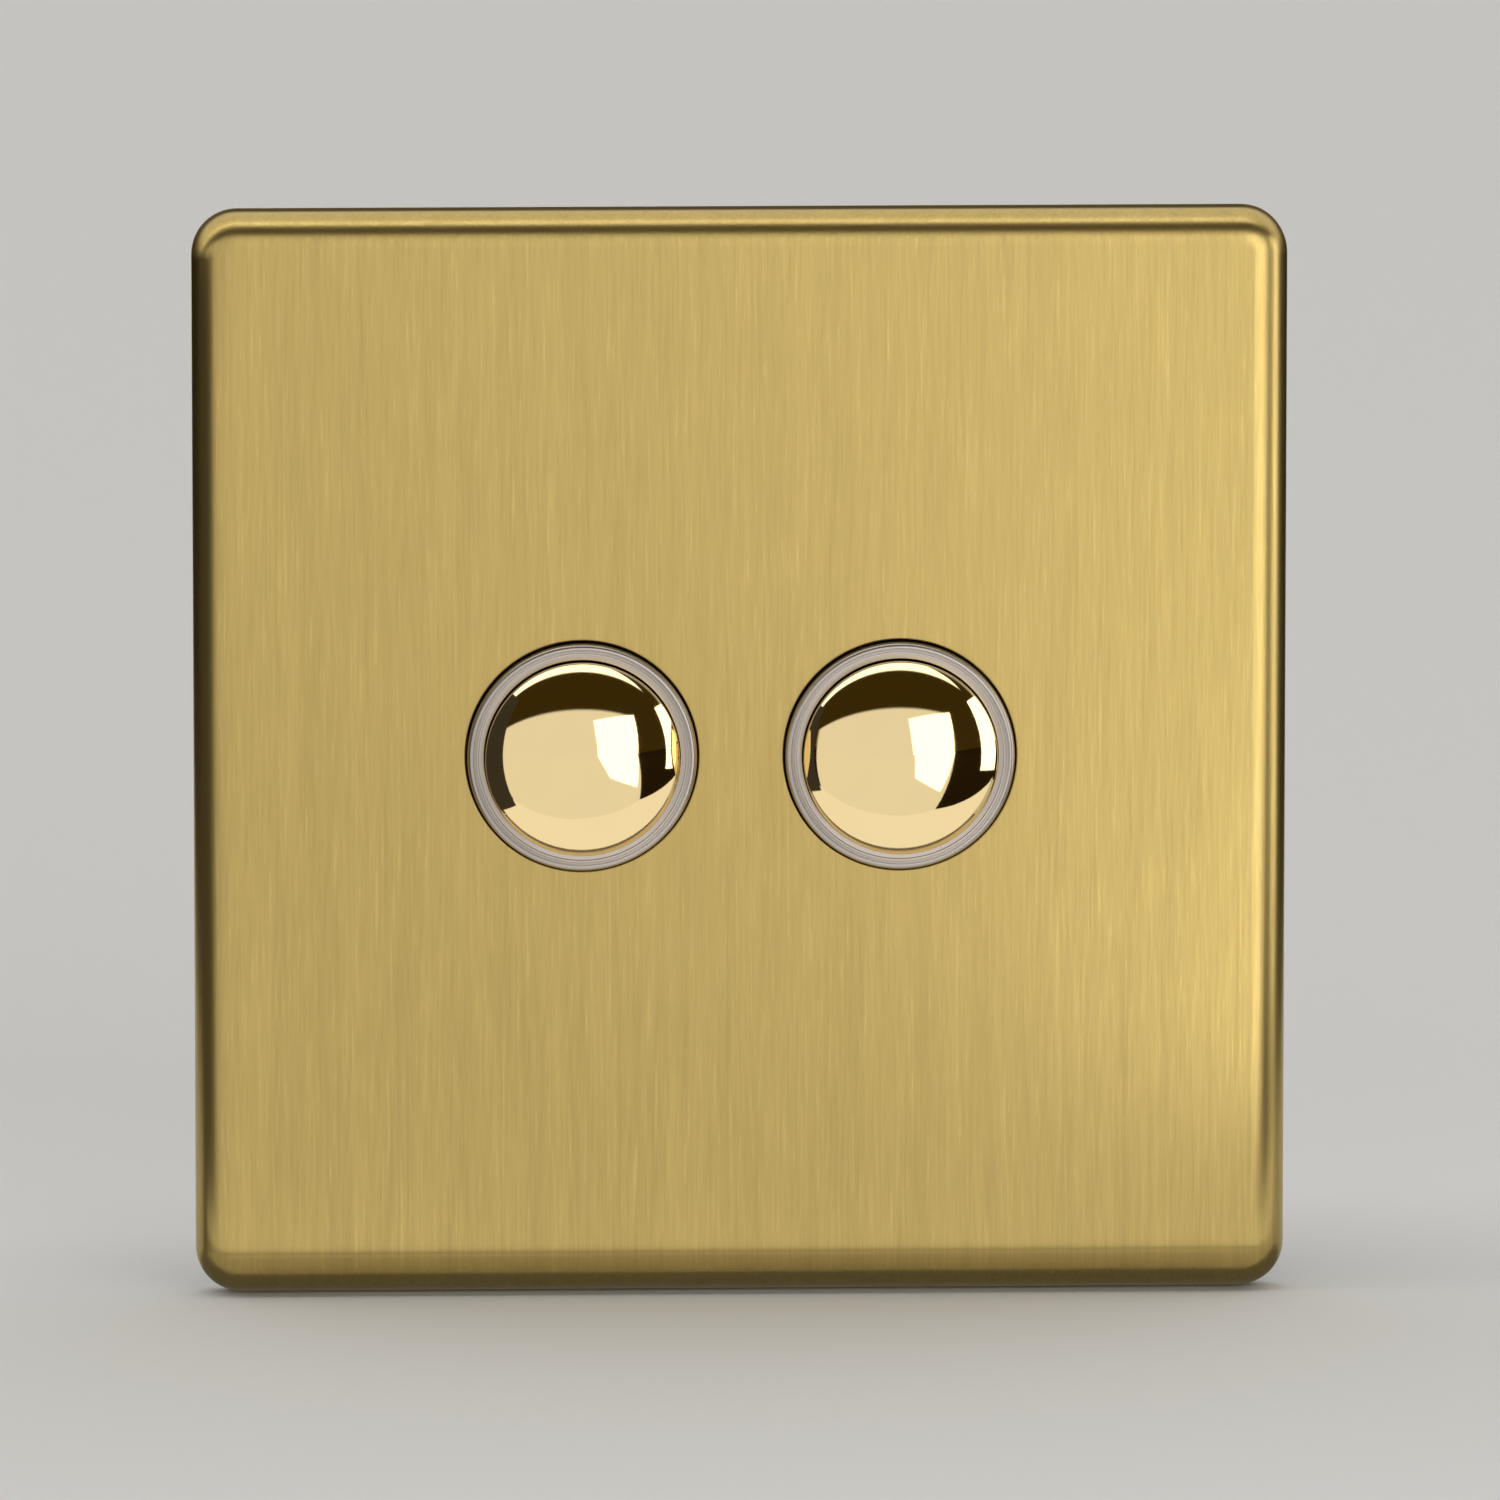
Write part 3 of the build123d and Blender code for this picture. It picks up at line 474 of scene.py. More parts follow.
def sharpen(piece, degrees):
    """Hard edges where faces meet at more than the given angle, with flat faces kept flat."""
    piece.data.set_sharp_from_angle(angle=radians(degrees))
    weighted = piece.modifiers.new("weighted_normals", "WEIGHTED_NORMAL")
    weighted.keep_sharp = True
    weighted.weight = 100


def join_loops(bm, first, second):
    """Quads between two closed loops of as many vertices each."""
    count = len(first)
    for i in range(count):
        j = (i + 1) % count
        bm.faces.new((first[i], first[j], second[j], second[i]))


def square_loop(bm, half, radius, y, corner_steps):
    """A loop round a square with rounded corners, across Y."""
    loop = []
    for quarter in range(4):
        corner_x = (half - radius) * (1 if quarter in (0, 3) else -1)
        corner_z = (half - radius) * (1 if quarter in (0, 1) else -1)
        for step in range(corner_steps + 1):
            angle = (quarter + step / corner_steps) * pi / 2
            loop.append(bm.verts.new((corner_x + radius * cos(angle), y, corner_z + radius * sin(angle))))
    return loop


def circle_loop(bm, x, radius, y, steps):
    """A loop round a circle about a module's axis."""
    return [
        bm.verts.new((x + radius * cos(2 * pi * i / steps), y, radius * sin(2 * pi * i / steps)))
        for i in range(steps)
    ]


def ring_edges(bm, loop):
    """Edges that close a loop of bare vertices."""
    return [bm.edges.get((a, b)) or bm.edges.new((a, b)) for a, b in zip(loop, loop[1:] + loop[:1])]


def make_front_plate():
    """The folded sheet: rolled outer edge, face with two holes, and the same again inside."""
    s = sizes()
    low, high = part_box("front_plate")
    half = high.x
    rim, face = high.y, low.y
    bm = bmesh.new()
    arc_steps, corner_steps, break_steps = 14, 16, 4
    lip = 0.06 * MM
    outer = [(lip, rim), (0, rim - lip), (0, face + s.plate_edge)]
    sheet = s.plate_sheet
    inner = [(sheet - lip, rim), (sheet, rim - lip), (sheet, face + s.plate_edge)]
    inside_radius = s.plate_edge - sheet
    for step in range(1, arc_steps + 1):
        turn = step / arc_steps * pi / 2
        across, back = 1 - cos(turn), sin(turn)
        outer.append((s.plate_edge * across, face + s.plate_edge * (1 - back)))
        inner.append((sheet + inside_radius * across, face + s.plate_edge - inside_radius * back))
    support = 0.04 * MM
    outer.append((s.plate_edge + support, face))
    inner.append((s.plate_edge + support, face + sheet))
    skins = []
    for profile in (outer, inner):
        loops = [
            square_loop(bm, half - inset, s.plate_corner - inset, y, corner_steps) for inset, y in profile
        ]
        for first, second in zip(loops, loops[1:]):
            join_loops(bm, first, second)
        skins.append(loops)
    join_loops(bm, skins[0][0], skins[1][0])
    front_edges = ring_edges(bm, skins[0][-1])
    back_edges = ring_edges(bm, skins[1][-1])
    for side in SIDES:
        x = centre_x(side)
        profile = [(s.hole_radius + s.hole_break + support, face)]
        for step in range(break_steps + 1):
            turn = step / break_steps * pi / 2
            reach, drop = s.hole_break * (1 - sin(turn)), s.hole_break * (1 - cos(turn))
            profile.append((s.hole_radius + reach, face + drop))
        profile.append((s.hole_radius, face + sheet - support))
        profile.append((s.hole_radius + support, face + sheet))
        loops = [circle_loop(bm, x, radius, y, ROUND_STEPS) for radius, y in profile]
        for first, second in zip(loops, loops[1:]):
            join_loops(bm, first, second)
        front_edges += ring_edges(bm, loops[0])
        back_edges += ring_edges(bm, loops[-1])
    for edges in (front_edges, back_edges):
        bmesh.ops.triangle_fill(bm, use_beauty=True, use_dissolve=False, edges=edges)
    piece = new_piece("brass_plate", bm, "front_plate")
    sharpen(piece, 50)
    unroll(piece.data, face)
    return piece


def unroll(mesh, face_y):
    """A UV map that lies along the sheet and over its folds: U runs across the grain, V along it."""
    layer = mesh.uv_layers.new(name="grain")
    for polygon in mesh.polygons:
        middle = polygon.center
        for corner in polygon.loop_indices:
            place = mesh.vertices[mesh.loops[corner].vertex_index].co
            fold = place.y - face_y
            layer.data[corner].uv = (
                place.x + (fold if middle.x > 0 else -fold),
                place.z + (fold if middle.z > 0 else -fold),
            )


def turned(bm, x, profile, steps):
    """A shape turned about a module's axis. The profile is (radius, Y); radius nought is a pole."""
    loops = []
    for radius, y in profile:
        if radius == 0:
            loops.append([bm.verts.new((x, y, 0))])
        else:
            loops.append(circle_loop(bm, x, radius, y, steps))
    for first, second in zip(loops, loops[1:]):
        if len(first) == 1 or len(second) == 1:
            pole, loop = (first[0], second) if len(first) == 1 else (second[0], first)
            for i in range(steps):
                bm.faces.new((pole, loop[i], loop[(i + 1) % steps]))
        else:
            join_loops(bm, first, second)


def rounded(points, radius, steps=4):
    """The (radius, Y) profile with each inner corner rounded by a small arc."""
    result = [points[0]]
    for before, corner, after in zip(points, points[1:], points[2:]):
        a, b, c = Vector(before), Vector(corner), Vector(after)
        reach = min(radius, (a - b).length * 0.45, (c - b).length * 0.45)
        start = b + (a - b).normalized() * reach
        end = b + (c - b).normalized() * reach
        for i in range(steps + 1):
            t = i / steps
            point = start.lerp(b, t).lerp(b.lerp(end, t), t)
            result.append((point.x, point.y))
    result.append(points[-1])
    return result


def make_button_cap(side):
    """A domed shell: a spherical front, a short plain side and the hollow behind."""
    s = sizes()
    low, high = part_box(f"button_cap_{side}")
    x = (low.x + high.x) / 2
    radius = (high.x - low.x) / 2
    top, rear = low.y, high.y
    sphere = (radius**2 + s.dome_height**2) / (2 * s.dome_height)
    centre = top + sphere
    half_angle = asin(radius / sphere)
    dome_steps, hollow_steps = 40, 12
    profile = [(0, top)]
    for i in range(1, dome_steps + 1):
        turn = half_angle * i / dome_steps
        profile.append((sphere * sin(turn), centre - sphere * cos(turn)))
    edge = profile.pop()
    blend = 0.25 * MM
    corner = [profile[-1], edge, (radius, edge[1] + 2 * blend)]
    profile = profile[:-1] + rounded(corner, blend, 6)[1:]
    inner_radius = radius - s.cap_wall
    inner_angle = asin(inner_radius / (sphere - s.cap_wall))
    profile += rounded(
        [
            (radius, rear - 1.0 * MM),
            (radius, rear),
            (inner_radius, rear),
            (inner_radius, centre - (sphere - s.cap_wall) * cos(inner_angle)),
        ],
        0.08 * MM,
    )
    for i in range(hollow_steps - 1, -1, -1):
        turn = inner_angle * i / hollow_steps
        point = ((sphere - s.cap_wall) * sin(turn), centre - (sphere - s.cap_wall) * cos(turn))
        profile.append(point if i else (0, top + s.cap_wall))
    bm = bmesh.new()
    turned(bm, x, profile, ROUND_STEPS)
    piece = new_piece(f"polished_cap_{side}", bm, f"button_cap_{side}")
    sharpen(piece, 40)
    return piece


def carve(bm, boxes):
    """The mesh less the given boxes, each a pair of corners."""
    body = bpy.data.meshes.new("carved")
    bmesh.ops.remove_doubles(bm, verts=bm.verts, dist=1e-7)
    bmesh.ops.recalc_face_normals(bm, faces=bm.faces)
    bm.to_mesh(body)
    bm.free()
    shape = bpy.data.objects.new("carved", body)
    bpy.context.scene.collection.objects.link(shape)
    cutters = []
    for low, high in boxes:
        cut = bmesh.new()
        bmesh.ops.create_cube(cut, size=1)
        for vert in cut.verts:
            vert.co = Vector((low[i] if vert.co[i] < 0 else high[i] for i in range(3)))
        mesh = bpy.data.meshes.new("cutter")
        cut.to_mesh(mesh)
        cut.free()
        cutter = bpy.data.objects.new("cutter", mesh)
        bpy.context.scene.collection.objects.link(cutter)
        cutters.append(cutter)
        boolean = shape.modifiers.new("cut", "BOOLEAN")
        boolean.operation = "DIFFERENCE"
        boolean.object = cutter
    evaluated = shape.evaluated_get(bpy.context.evaluated_depsgraph_get())
    result = bmesh.new()
    result.from_mesh(evaluated.to_mesh())
    evaluated.to_mesh_clear()
    for each in (shape, *cutters):
        bpy.data.objects.remove(each, do_unlink=True)
    return result


def threaded(radius, depth, front, rear, pitch, steps, rows_per_turn):
    """Loops of points for a thread on a cylinder along Y. It fades out over half a turn at each end."""
    rows = round((rear - front) / pitch * rows_per_turn)
    grid = []
    for j in range(rows + 1):
        y = front + (rear - front) * j / rows
        fade = min(1, (y - front) / (pitch / 2), (rear - y) / (pitch / 2))
        row = []
        for i in range(steps):
            phase = (y / pitch + i / steps) % 1
            wave = abs(2 * phase - 1)
            row.append((radius - depth * fade * min(1, max(0, 1.25 * wave - 0.125)), y))
        grid.append(row)
    return grid


def make_collar(side):
    """A turned collar: grooved front face, inner lip, fine thread and a notched flange at the rear."""
    s = sizes()
    low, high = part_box(f"collar_{side}")
    x = (low.x + high.x) / 2
    bore = s.collar_bore
    outer = s.collar_radius
    guide = outer - s.collar_guide_step
    flange = high.x - x
    front, rear = low.y, high.y
    cover_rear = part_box("grid_plate")[1].y + s.cover_wall
    flange_rear = cover_rear + s.collar_flange
    steps = ROUND_STEPS
    lip_radius = bore + s.collar_lip_width
    lip_y = front + s.collar_lip_drop
    wiper = bore - s.collar_wiper
    wiper_length = 0.35 * MM
    wiper_rear = lip_y + wiper_length
    start_line = [(bore, rear - 0.3 * MM), (bore, wiper_rear), (wiper, wiper_rear), (wiper, lip_y)]
    profile = rounded([*start_line, (lip_radius, lip_y), (lip_radius, front)], 0.06 * MM)
    groove, depth = s.groove_pitch, s.groove_depth
    start = lip_radius + 0.10 * MM
    half_mouth, half_floor = 0.30 * groove, 0.12 * groove
    for ring in range(3):
        middle = start + groove * (ring + 0.5)
        profile += [
            (middle - half_mouth, front),
            (middle - half_floor, front + depth),
            (middle + half_floor, front + depth),
            (middle + half_mouth, front),
        ]
    edge, edge_steps = s.collar_edge, 6
    for step in range(edge_steps + 1):
        turn = step / edge_steps * pi / 2
        profile.append((outer - edge + edge * sin(turn), front + edge - edge * cos(turn)))
    bm = bmesh.new()
    loops = [circle_loop(bm, x, radius, y, steps) for radius, y in profile]
    thread_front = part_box("front_plate")[0].y + s.plate_sheet + 0.2 * MM
    for row in threaded(outer, s.thread_depth, thread_front, cover_rear, s.thread_pitch, steps, 8):
        loops.append(
            [
                bm.verts.new((x + r * cos(2 * pi * i / steps), y, r * sin(2 * pi * i / steps)))
                for i, (r, y) in enumerate(row)
            ]
        )
    chamfer = 0.1 * MM
    last = [
        (flange - chamfer, cover_rear),
        (flange, cover_rear + chamfer),
        (flange, flange_rear - chamfer),
        (flange - chamfer, flange_rear),
        (guide, flange_rear),
        (guide, rear - chamfer),
        (guide - chamfer, rear),
        (bore + chamfer, rear),
        (bore, rear - chamfer),
    ]
    loops += [circle_loop(bm, x, radius, y, steps) for radius, y in last]
    for first, second in zip(loops, loops[1:] + loops[:1]):
        join_loops(bm, first, second)
    half, reach = s.flange_notch / 2, outer + s.notch_gap
    boxes = []
    spare = 0.01 * MM
    for z_low, z_high in ((reach, 2 * flange), (-2 * flange, -reach)):
        boxes.append(
            ((x - half, cover_rear - spare, z_low), (x + half, flange_rear + spare, z_high))
        )
    piece = new_piece(f"threaded_collar_{side}", carve(bm, boxes), f"collar_{side}")
    sharpen(piece, 32)
    return piece


def spring_tree():
    """Geometry Nodes: a round wire wound along Y, with its end turns lying closed."""
    tree = bpy.data.node_groups.new("compression_spring", "GeometryNodeTree")
    tree.interface.new_socket("Geometry", in_out="INPUT", socket_type="NodeSocketGeometry")
    for label, kind, value in (
        ("Centre", "NodeSocketVector", (0, 0, 0)),
        ("Length", "NodeSocketFloat", 8 * MM),
        ("Radius", "NodeSocketFloat", 4.8 * MM),
        ("Wire radius", "NodeSocketFloat", 0.35 * MM),
        ("Turns", "NodeSocketFloat", 5.5),
        ("Closed share", "NodeSocketFloat", 0.2),
        ("Points", "NodeSocketInt", 260),
    ):
        socket = tree.interface.new_socket(label, in_out="INPUT", socket_type=kind)
        socket.default_value = value
    tree.interface.new_socket("Material", in_out="INPUT", socket_type="NodeSocketMaterial")
    tree.interface.new_socket("Geometry", in_out="OUTPUT", socket_type="NodeSocketGeometry")
    link = tree.links.new
    given, made = tree.nodes.new("NodeGroupInput"), tree.nodes.new("NodeGroupOutput")
    line = add_node(tree, "GeometryNodeCurvePrimitiveLine")
    resample = add_node(tree, "GeometryNodeResampleCurve")
    link(line.outputs[0], resample.inputs["Curve"])
    link(given.outputs["Points"], resample.inputs["Count"])
    along = add_node(tree, "GeometryNodeSplineParameter")

    def result(operation, first, second=None):
        return number(tree, operation, first, second)

    share = along.outputs["Factor"]
    turns, wire_radius = given.outputs["Turns"], given.outputs["Wire radius"]
    angle = result("MULTIPLY", result("MULTIPLY", share, turns), 2 * pi)
    end_share = result("MULTIPLY", given.outputs["Closed share"], 0.5)
    open_share = result("SUBTRACT", 1.0, end_share)
    lift = result("MULTIPLY", result("MULTIPLY", wire_radius, 2.1), result("MULTIPLY", turns, end_share))
    spans = []
    for limits in (
        {"From Max": end_share},
        {"From Min": open_share},
        {"From Min": end_share, "From Max": open_share},
    ):
        span = add_node(tree, "ShaderNodeMapRange", interpolation_type="LINEAR")
        link(share, span.inputs["Value"])
        for label, limit in limits.items():
            link(limit, span.inputs[label])
        spans.append(span)
    low_end, high_end, rise = spans
    link(lift, low_end.inputs["To Max"])
    link(lift, high_end.inputs["To Max"])
    open_length = result("SUBTRACT", given.outputs["Length"], result("MULTIPLY", lift, 2.0))
    middle = result("MULTIPLY", rise.outputs["Result"], open_length)
    ends = result("ADD", low_end.outputs["Result"], high_end.outputs["Result"])
    radius = given.outputs["Radius"]
    place = joined(
        tree,
        X=result("MULTIPLY", result("COSINE", angle), radius),
        Y=result("ADD", ends, middle),
        Z=result("MULTIPLY", result("SINE", angle), radius),
    )
    shift = add_node(tree, "ShaderNodeVectorMath", operation="ADD")
    link(place, shift.inputs[0])
    link(given.outputs["Centre"], shift.inputs[1])
    wind = add_node(tree, "GeometryNodeSetPosition")
    link(resample.outputs["Curve"], wind.inputs["Geometry"])
    link(shift.outputs[0], wind.inputs["Position"])
    ring = add_node(tree, "GeometryNodeCurvePrimitiveCircle", Resolution=12)
    link(given.outputs["Wire radius"], ring.inputs["Radius"])
    wire = add_node(tree, "GeometryNodeCurveToMesh")
    wire.inputs["Fill Caps"].default_value = True
    link(wind.outputs["Geometry"], wire.inputs["Curve"])
    link(ring.outputs["Curve"], wire.inputs["Profile Curve"])
    real = add_node(tree, "GeometryNodeRealizeInstances")
    link(wire.outputs["Mesh"], real.inputs["Geometry"])
    finish = add_node(tree, "GeometryNodeSetMaterial")
    link(real.outputs["Geometry"], finish.inputs["Geometry"])
    link(given.outputs["Material"], finish.inputs["Material"])
    link(finish.outputs["Geometry"], made.inputs["Geometry"])
    return tree


def grown(name, tree, nodes, **values):
    """A piece that a Geometry Nodes tree makes, baked to a plain mesh, for the given nodes."""
    slot = slot_of(nodes[0])
    seed = bpy.data.objects.new(name, bpy.data.meshes.new(name))
    bpy.context.scene.collection.objects.link(seed)
    modifier = seed.modifiers.new("grown", "NODES")
    modifier.node_group = tree
    for socket in tree.interface.items_tree:
        if socket.in_out == "INPUT" and socket.name.replace(" ", "_") in values:
            modifier[socket.identifier] = values[socket.name.replace(" ", "_")]
        if socket.in_out == "INPUT" and socket.name == "Material":
            modifier[socket.identifier] = finish_for(slot)
    mesh = bpy.data.meshes.new_from_object(seed.evaluated_get(bpy.context.evaluated_depsgraph_get()))
    seed.modifiers.remove(modifier)
    seed.data = mesh
    for face in mesh.polygons:
        face.use_smooth = True
    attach(seed, body_of_node(nodes[0]))
    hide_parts(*nodes)
    return seed


def make_return_spring(side):
    """A wound spring in the place of the frame's return spring, from its front to its rear seat."""
    node = f"return_spring_{side}"
    low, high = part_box(node)
    wire = sizes().spring_wire / 2
    x = centre_x(side)
    piece = grown(
        f"wound_spring_{side}",
        group_once("compression_spring", spring_tree),
        [node],
        Centre=(x, low.y + wire, 0),
        Length=high.y - low.y - 2 * wire,
        Radius=high.x - x - wire,
        Wire_radius=wire,
    )
    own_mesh(piece)
    return piece


def dress_frame_nodes():
    """Every node of the frame that still shows gets its own finish and smooth round faces."""
    for name, node in frame["nodes"].items():
        node.data.materials.clear()
        node.data.materials.append(finish_for(slot_of(name)))
        weld = node.modifiers.new("weld", "WELD")
        weld.merge_threshold = 0.001 * MM
        for face in node.data.polygons:
            face.use_smooth = True
        split = node.modifiers.new("hard_edges", "EDGE_SPLIT")
        split.split_angle = radians(28)


def toward(azimuth, elevation):
    """The direction at these degrees to the right of the front, and up."""
    turn, rise = radians(azimuth), radians(elevation)
    return Vector((sin(turn) * cos(rise), -cos(turn) * cos(rise), sin(rise)))


def area_lamp(name, azimuth, elevation, distance, width, height, glow):
    """A soft rectangular lamp that faces the plate and is as bright as a card of that glow."""
    lamp = bpy.data.lights.new(name, "AREA")
    lamp.shape = "RECTANGLE"
    lamp.size, lamp.size_y = width, height
    lamp.energy = pi * width * height * glow
    shape = bpy.data.objects.new(name, lamp)
    place = toward(azimuth, elevation) * distance
    shape.location = place
    shape.rotation_euler = place.to_track_quat("Z", "Y").to_euler()
    bpy.context.scene.collection.objects.link(shape)
    return shape


def stage_sheet(name, corners, colour):
    """A flat matt piece of the stage, and its shader."""
    mesh = bpy.data.meshes.new(name)
    mesh.from_pydata(corners, [], [tuple(range(len(corners)))])
    sheet = bpy.data.objects.new(name, mesh)
    bpy.context.scene.collection.objects.link(sheet)
    material, _, shader = new_material(f"{name}_paint", 0.0, colour)
    shader.inputs["Roughness"].default_value = 0.9
    shader.inputs["Specular IOR Level"].default_value = 0.0
    mesh.materials.append(material)
    return sheet, shader


def make_floor():
    half = 6.0
    corners = [(x * half, y * half, FLOOR_Z) for x, y in ((-1, -1), (1, -1), (1, 1), (-1, 1))]
    floor, _ = stage_sheet("floor", corners, colours().floor)


def make_camera():
    """A long lens a little above and left of the plate's middle, as in the photograph."""
    plate_span_pixels, picture_pixels = 1094, 1500
    plate_width = CAD_BOX[1].x - CAD_BOX[0].x
    lens, sensor = 450.0, 36.0
    view_width = plate_width * picture_pixels / plate_span_pixels
    distance = view_width * lens / sensor
    pixel = view_width / picture_pixels
    target = Vector((9 * pixel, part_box("front_plate")[0].y, 5.5 * pixel))
    back = toward(-2.0, 9.0)
    data = bpy.data.cameras.new("camera")
    data.lens, data.sensor_width = lens, sensor
    data.clip_start, data.clip_end = 0.05, 50
    camera = bpy.data.objects.new("camera", data)
    camera.location = target + back * distance
    camera.rotation_euler = back.to_track_quat("Z", "Y").to_euler()
    bpy.context.scene.collection.objects.link(camera)
    bpy.context.scene.camera = camera


def zone_group():
    """A mask that is 1 in one soft edged window of directions.

    Left and Right are degrees to the right of the front. Low and High are degrees up in side view,
    so 90 is overhead and 180 is level with the rear.
    """
    group, given, made = new_group(
        "studio_zone",
        {
            "Left": ("NodeSocketFloat", -30.0),
            "Right": ("NodeSocketFloat", 30.0),
            "Low": ("NodeSocketFloat", -30.0),
            "High": ("NodeSocketFloat", 30.0),
            "Softness": ("NodeSocketFloat", 3.0),
        },
        {"Mask": "NodeSocketFloat"},
    )
    place = coordinates(group, "Generated")
    front = number(group, "MULTIPLY", place["Y"], -1)
    azimuth = number(group, "ARCTAN2", place["X"], front)
    pitch = number(group, "ARCTAN2", place["Z"], front)
    mask = None
    for angle, low, high in ((azimuth, "Left", "Right"), (pitch, "Low", "High")):
        turn = number(group, "DEGREES", angle)
        for edge, sign in ((low, 1), (high, -1)):
            past = number(group, "SUBTRACT", turn, given.outputs[edge])
            step = add_node(
                group, "ShaderNodeMapRange", interpolation_type="SMOOTHSTEP", From_Min=-sign, From_Max=sign
            )
            group.links.new(number(group, "DIVIDE", past, given.outputs["Softness"]), step.inputs["Value"])
            inside = step.outputs["Result"]
            mask = inside if mask is None else number(group, "MULTIPLY", mask, inside)
    group.links.new(mask, made.inputs["Mask"])
    return group


def make_world():
    """A studio by direction: a wide front panel, a strip light above it and a soft sky over the rear."""
    world = bpy.data.worlds.new("studio")
    bpy.context.scene.world = world
    world.use_nodes = True
    tree = world.node_tree
    colour = None
    for label, light, (left, right), (low, high), softness in STUDIO_ZONES:
        zone = effect(
            tree, "studio_zone", zone_group, Left=left, Right=right, Low=low, High=high, Softness=softness
        )
        zone.label = label
        mix = add_node(tree, "ShaderNodeMix", data_type="RGBA")
        mix.inputs["A"].default_value = (*STUDIO_DARK, 1)
        mix.inputs["B"].default_value = (*light, 1)
        if colour is not None:
            tree.links.new(colour, mix.inputs["A"])
        tree.links.new(zone.outputs["Mask"], mix.inputs["Factor"])
        colour = mix.outputs["Result"]
    seen = add_node(tree, "ShaderNodeLightPath")
    behind = add_node(tree, "ShaderNodeMix", data_type="RGBA")
    behind.inputs["B"].default_value = (*BACKDROP, 1)
    tree.links.new(colour, behind.inputs["A"])
    tree.links.new(seen.outputs["Is Camera Ray"], behind.inputs["Factor"])
    tree.links.new(behind.outputs["Result"], tree.nodes["Background"].inputs["Color"])
    tree.nodes["Background"].inputs["Strength"].default_value = 1.0


def metal_card(name, corners, glow=0.0, colour=CARD_BLACK):
    """A dark or glowing card that only metal sees, as photographers lay out for reflections."""
    card, shader = stage_sheet(name, corners, colour)
    shader.inputs["Emission Color"].default_value = (1, 1, 1, 1)
    shader.inputs["Emission Strength"].default_value = glow
    card.visible_camera = False
    card.visible_diffuse = False
    card.visible_shadow = False


def floor_card(name, height, corners, glow=0.0):
    metal_card(name, [(x, y, FLOOR_Z + height * MM) for x, y in corners], glow)


def upright_card(name, azimuth, elevation, distance, width, height):
    """A glowing card that faces the plate, for reflections alone."""
    place = toward(azimuth, elevation) * distance
    across = toward(azimuth + 90, 0) * width / 2
    up = toward(azimuth, elevation + 90) * height / 2
    corners = [place - across - up, place + across - up, place + across + up, place - across + up]
    metal_card(name, [tuple(corner) for corner in corners], WINDOW_LIGHT)


def bearing(azimuth, distance):
    """A point on the floor, by its direction from the front and its distance."""
    return distance * sin(radians(azimuth)), -distance * cos(radians(azimuth))


def make_cards():
    """Cards that only metal sees, as painted reflections: the lit panel, the window and the dark sides go on
    over the floor, up to a glowing sheet by the plate, with painted shade under that sheet, at the plate's
    foot and at its left side.
    """
    cap_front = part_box("button_cap_left")[0].y
    plate_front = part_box("front_plate")[0].y
    far, window_far = 60.0, 2.8
    edge = [(-0.069, cap_front - 0.017), (-0.005, cap_front - 0.026), (0.039, cap_front - 0.027)]
    left_end, right_end = (-0.143, cap_front), (0.126, cap_front + 0.008)
    left_far, right_far = bearing(-74, far), bearing(48, far)
    left_side = [(-far, -far), (-far, far), (left_end[0], far)]
    right_side = [(right_end[0], far), (far, far), (far, -far)]
    floor_card("panel_card", 0.05, [*edge, right_far, left_far], PANEL_LIGHT)
    floor_card("left_card", 0.05, [left_end, edge[0], left_far, *left_side])
    floor_card("right_card", 0.05, [edge[2], right_end, *right_side, right_far])
    foot = [(0.040, cap_front - 0.110), (0.056, cap_front - 0.050)]
    foot += [bearing(48, window_far), bearing(13, window_far)]
    floor_card("window_card", 0.10, foot, WINDOW_LIGHT)
    shade_front = plate_front - 1.2 * MM
    shade_rear = shade_front + 8 * MM
    foot_shade = [(-0.06, shade_front), (0.06, shade_front), (0.06, shade_rear), (-0.06, shade_rear)]
    floor_card("foot_shade", 0.08, foot_shade, 0.14)
    side_shade = [(0.0, -0.05), (-0.023, -0.05), (-0.023, 0.04), (0.0, 0.04)]
    metal_card("side_shade", [(-0.061, y, z) for y, z in side_shade], 0.03)
    start = plate_front - 1.8 * MM
    slope = 0.030
    sheet = [(-0.12, start), left_end, *edge, right_end, (0.12, start)]
    under_side = (0.10, 0.08, 0.05)
    # The first sheet glows, a painted reflection of lit floor seen in the caps; the second, just under it,
    # is painted shade.
    for name, rise, glow, colour in (
        ("near_sheet", 3.2, 0.95, CARD_BLACK),
        ("near_shade", 3.1, 0.0, under_side),
    ):
        corners = []
        for x, y in sheet:
            share = max(0, 1 - (start - y) / slope)
            corners.append((x, y, FLOOR_Z + (0.1 + rise * share) * MM))
        metal_card(name, corners, glow, colour)


def make_lights():
    """The world, one soft lamp, the window and narrow strip that metal reflects, and the other cards."""
    make_world()
    lamp = area_lamp("window_lamp", *WINDOW, LAMP_LIGHT)
    lamp.visible_glossy = False
    upright_card("window_glow", *WINDOW)
    upright_card("strip_glow", *STRIP)
    make_cards()


def make_stage():
    make_floor()
    make_camera()
    make_lights()
    bpy.context.scene.view_settings.view_transform = "Standard"


class SWITCH_OT_frame_finishes(bpy.types.Operator):
    """Give each node of the frame its own finish"""

    bl_idname = "switch.frame_finishes"
    bl_label = "Frame finishes"

    def execute(self, context):
        dress_frame_nodes()
        return {"FINISHED"}


class SWITCH_OT_front_plate(bpy.types.Operator):
    """Make the folded brass plate"""

    bl_idname = "switch.front_plate"
    bl_label = "Front plate"

    def execute(self, context):
        make_front_plate()
        return {"FINISHED"}


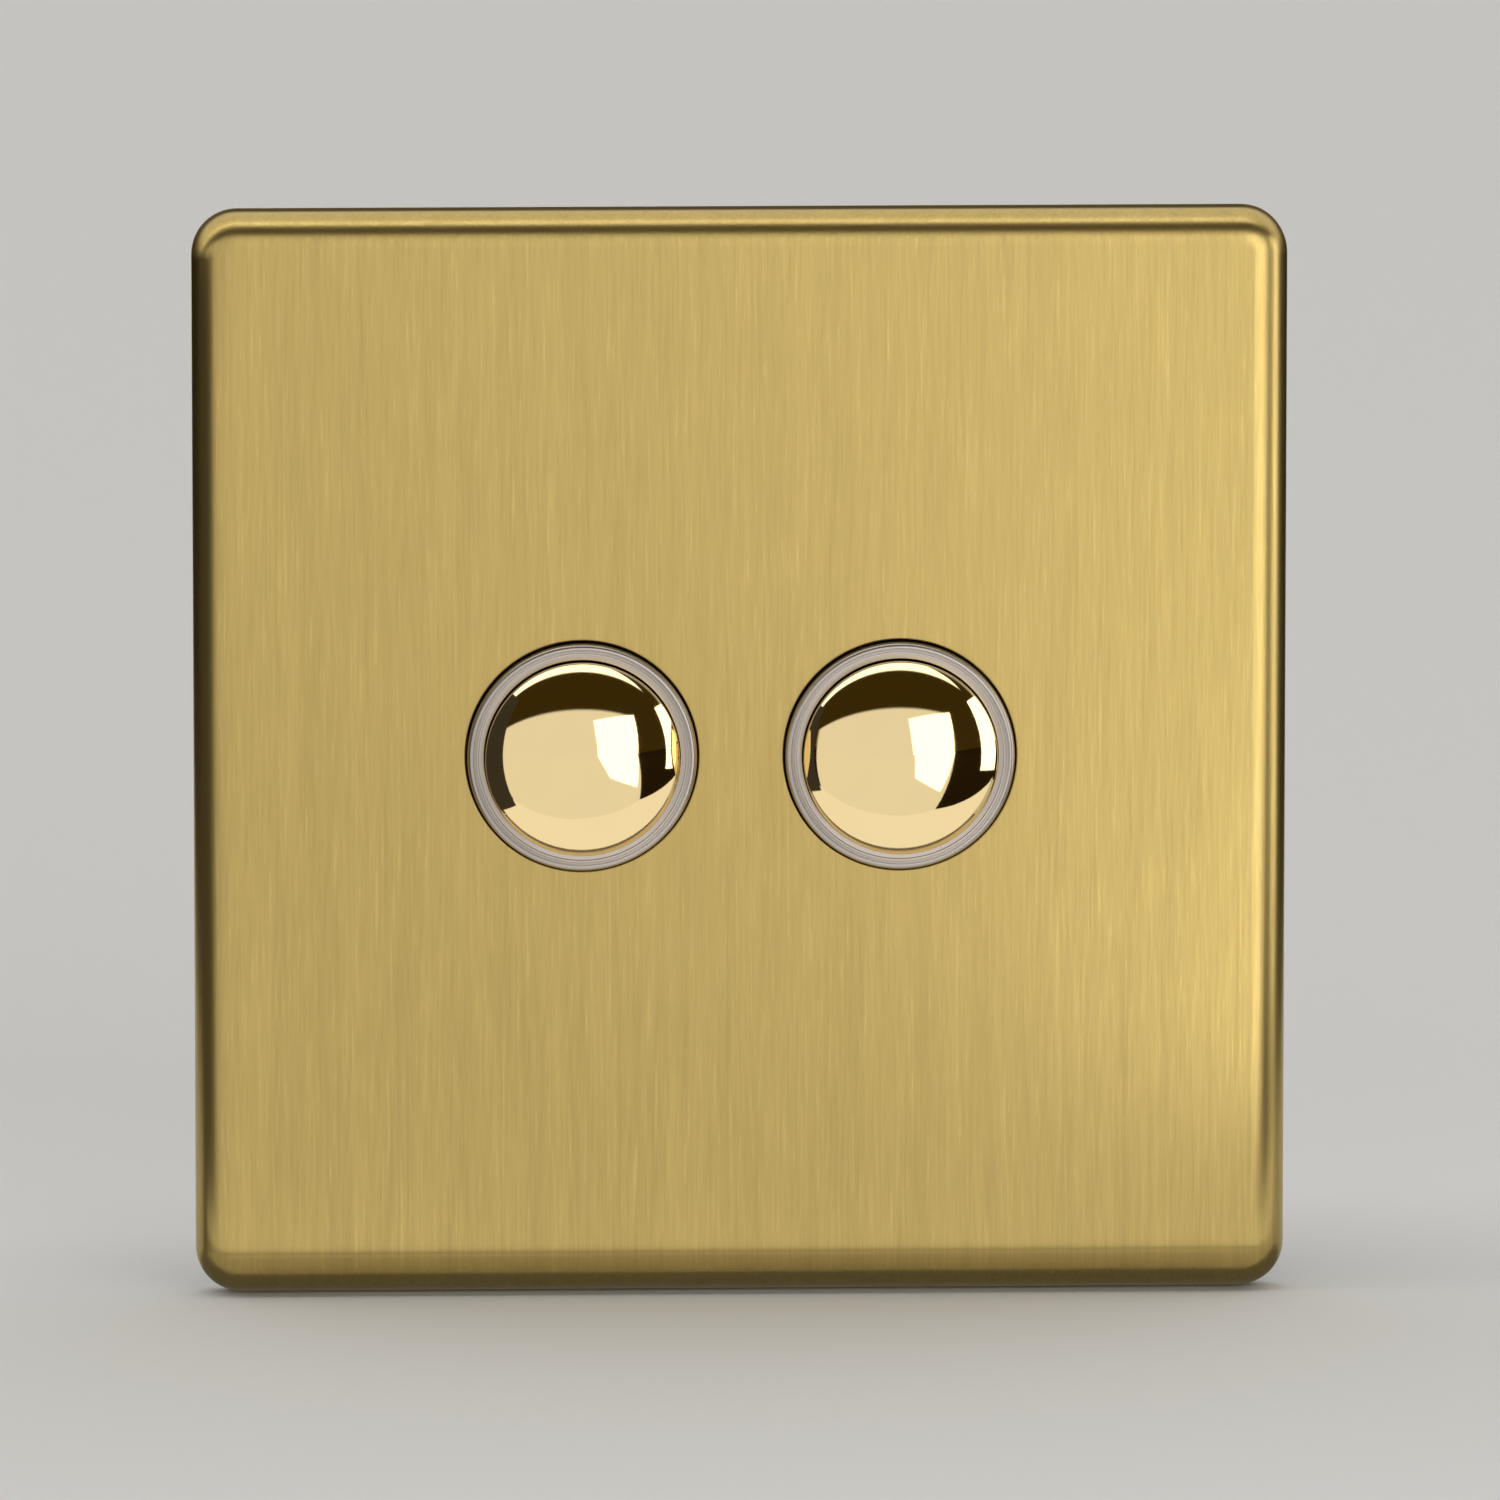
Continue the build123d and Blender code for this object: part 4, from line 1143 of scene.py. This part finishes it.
class SWITCH_OT_button_caps(bpy.types.Operator):
    """Make the two polished caps"""

    bl_idname = "switch.button_caps"
    bl_label = "Button caps"

    def execute(self, context):
        for side in SIDES:
            make_button_cap(side)
        return {"FINISHED"}


class SWITCH_OT_collars(bpy.types.Operator):
    """Make the two threaded collars"""

    bl_idname = "switch.collars"
    bl_label = "Collars"

    def execute(self, context):
        for side in SIDES:
            make_collar(side)
        return {"FINISHED"}


class SWITCH_OT_return_springs(bpy.types.Operator):
    """Wind the springs that lift the buttons"""

    bl_idname = "switch.return_springs"
    bl_label = "Return springs"

    def execute(self, context):
        for side in SIDES:
            make_return_spring(side)
        return {"FINISHED"}


class SWITCH_OT_stage(bpy.types.Operator):
    """Make the floor, the lights and the camera"""

    bl_idname = "switch.stage"
    bl_label = "Stage"

    def execute(self, context):
        make_stage()
        return {"FINISHED"}


OPERATORS = (
    SWITCH_OT_frame_finishes,
    SWITCH_OT_front_plate,
    SWITCH_OT_button_caps,
    SWITCH_OT_collars,
    SWITCH_OT_return_springs,
    SWITCH_OT_stage,
)


class SWITCH_PT_panel(bpy.types.Panel):
    bl_idname = "SWITCH_PT_panel"
    bl_label = "Push switch"
    bl_space_type = "VIEW_3D"
    bl_region_type = "UI"
    bl_category = "Push switch"

    def draw(self, context):
        for group in (context.scene.switch_sizes, context.scene.switch_colours):
            for name in group.__annotations__:
                self.layout.prop(group, name)
        for operator in OPERATORS:
            self.layout.operator(operator.bl_idname)


CLASSES = (SwitchSizes, SwitchColours, *OPERATORS, SWITCH_PT_panel)


def register():
    for each in CLASSES:
        bpy.utils.register_class(each)
    bpy.types.Scene.switch_sizes = bpy.props.PointerProperty(type=SwitchSizes)
    bpy.types.Scene.switch_colours = bpy.props.PointerProperty(type=SwitchColours)


def unregister():
    del bpy.types.Scene.switch_colours
    del bpy.types.Scene.switch_sizes
    for each in reversed(CLASSES):
        bpy.utils.unregister_class(each)


def main():
    register()
    for operator in OPERATORS:
        group, name = operator.bl_idname.split(".")
        getattr(getattr(bpy.ops, group), name)()


if __name__ == "__main__":
    main()
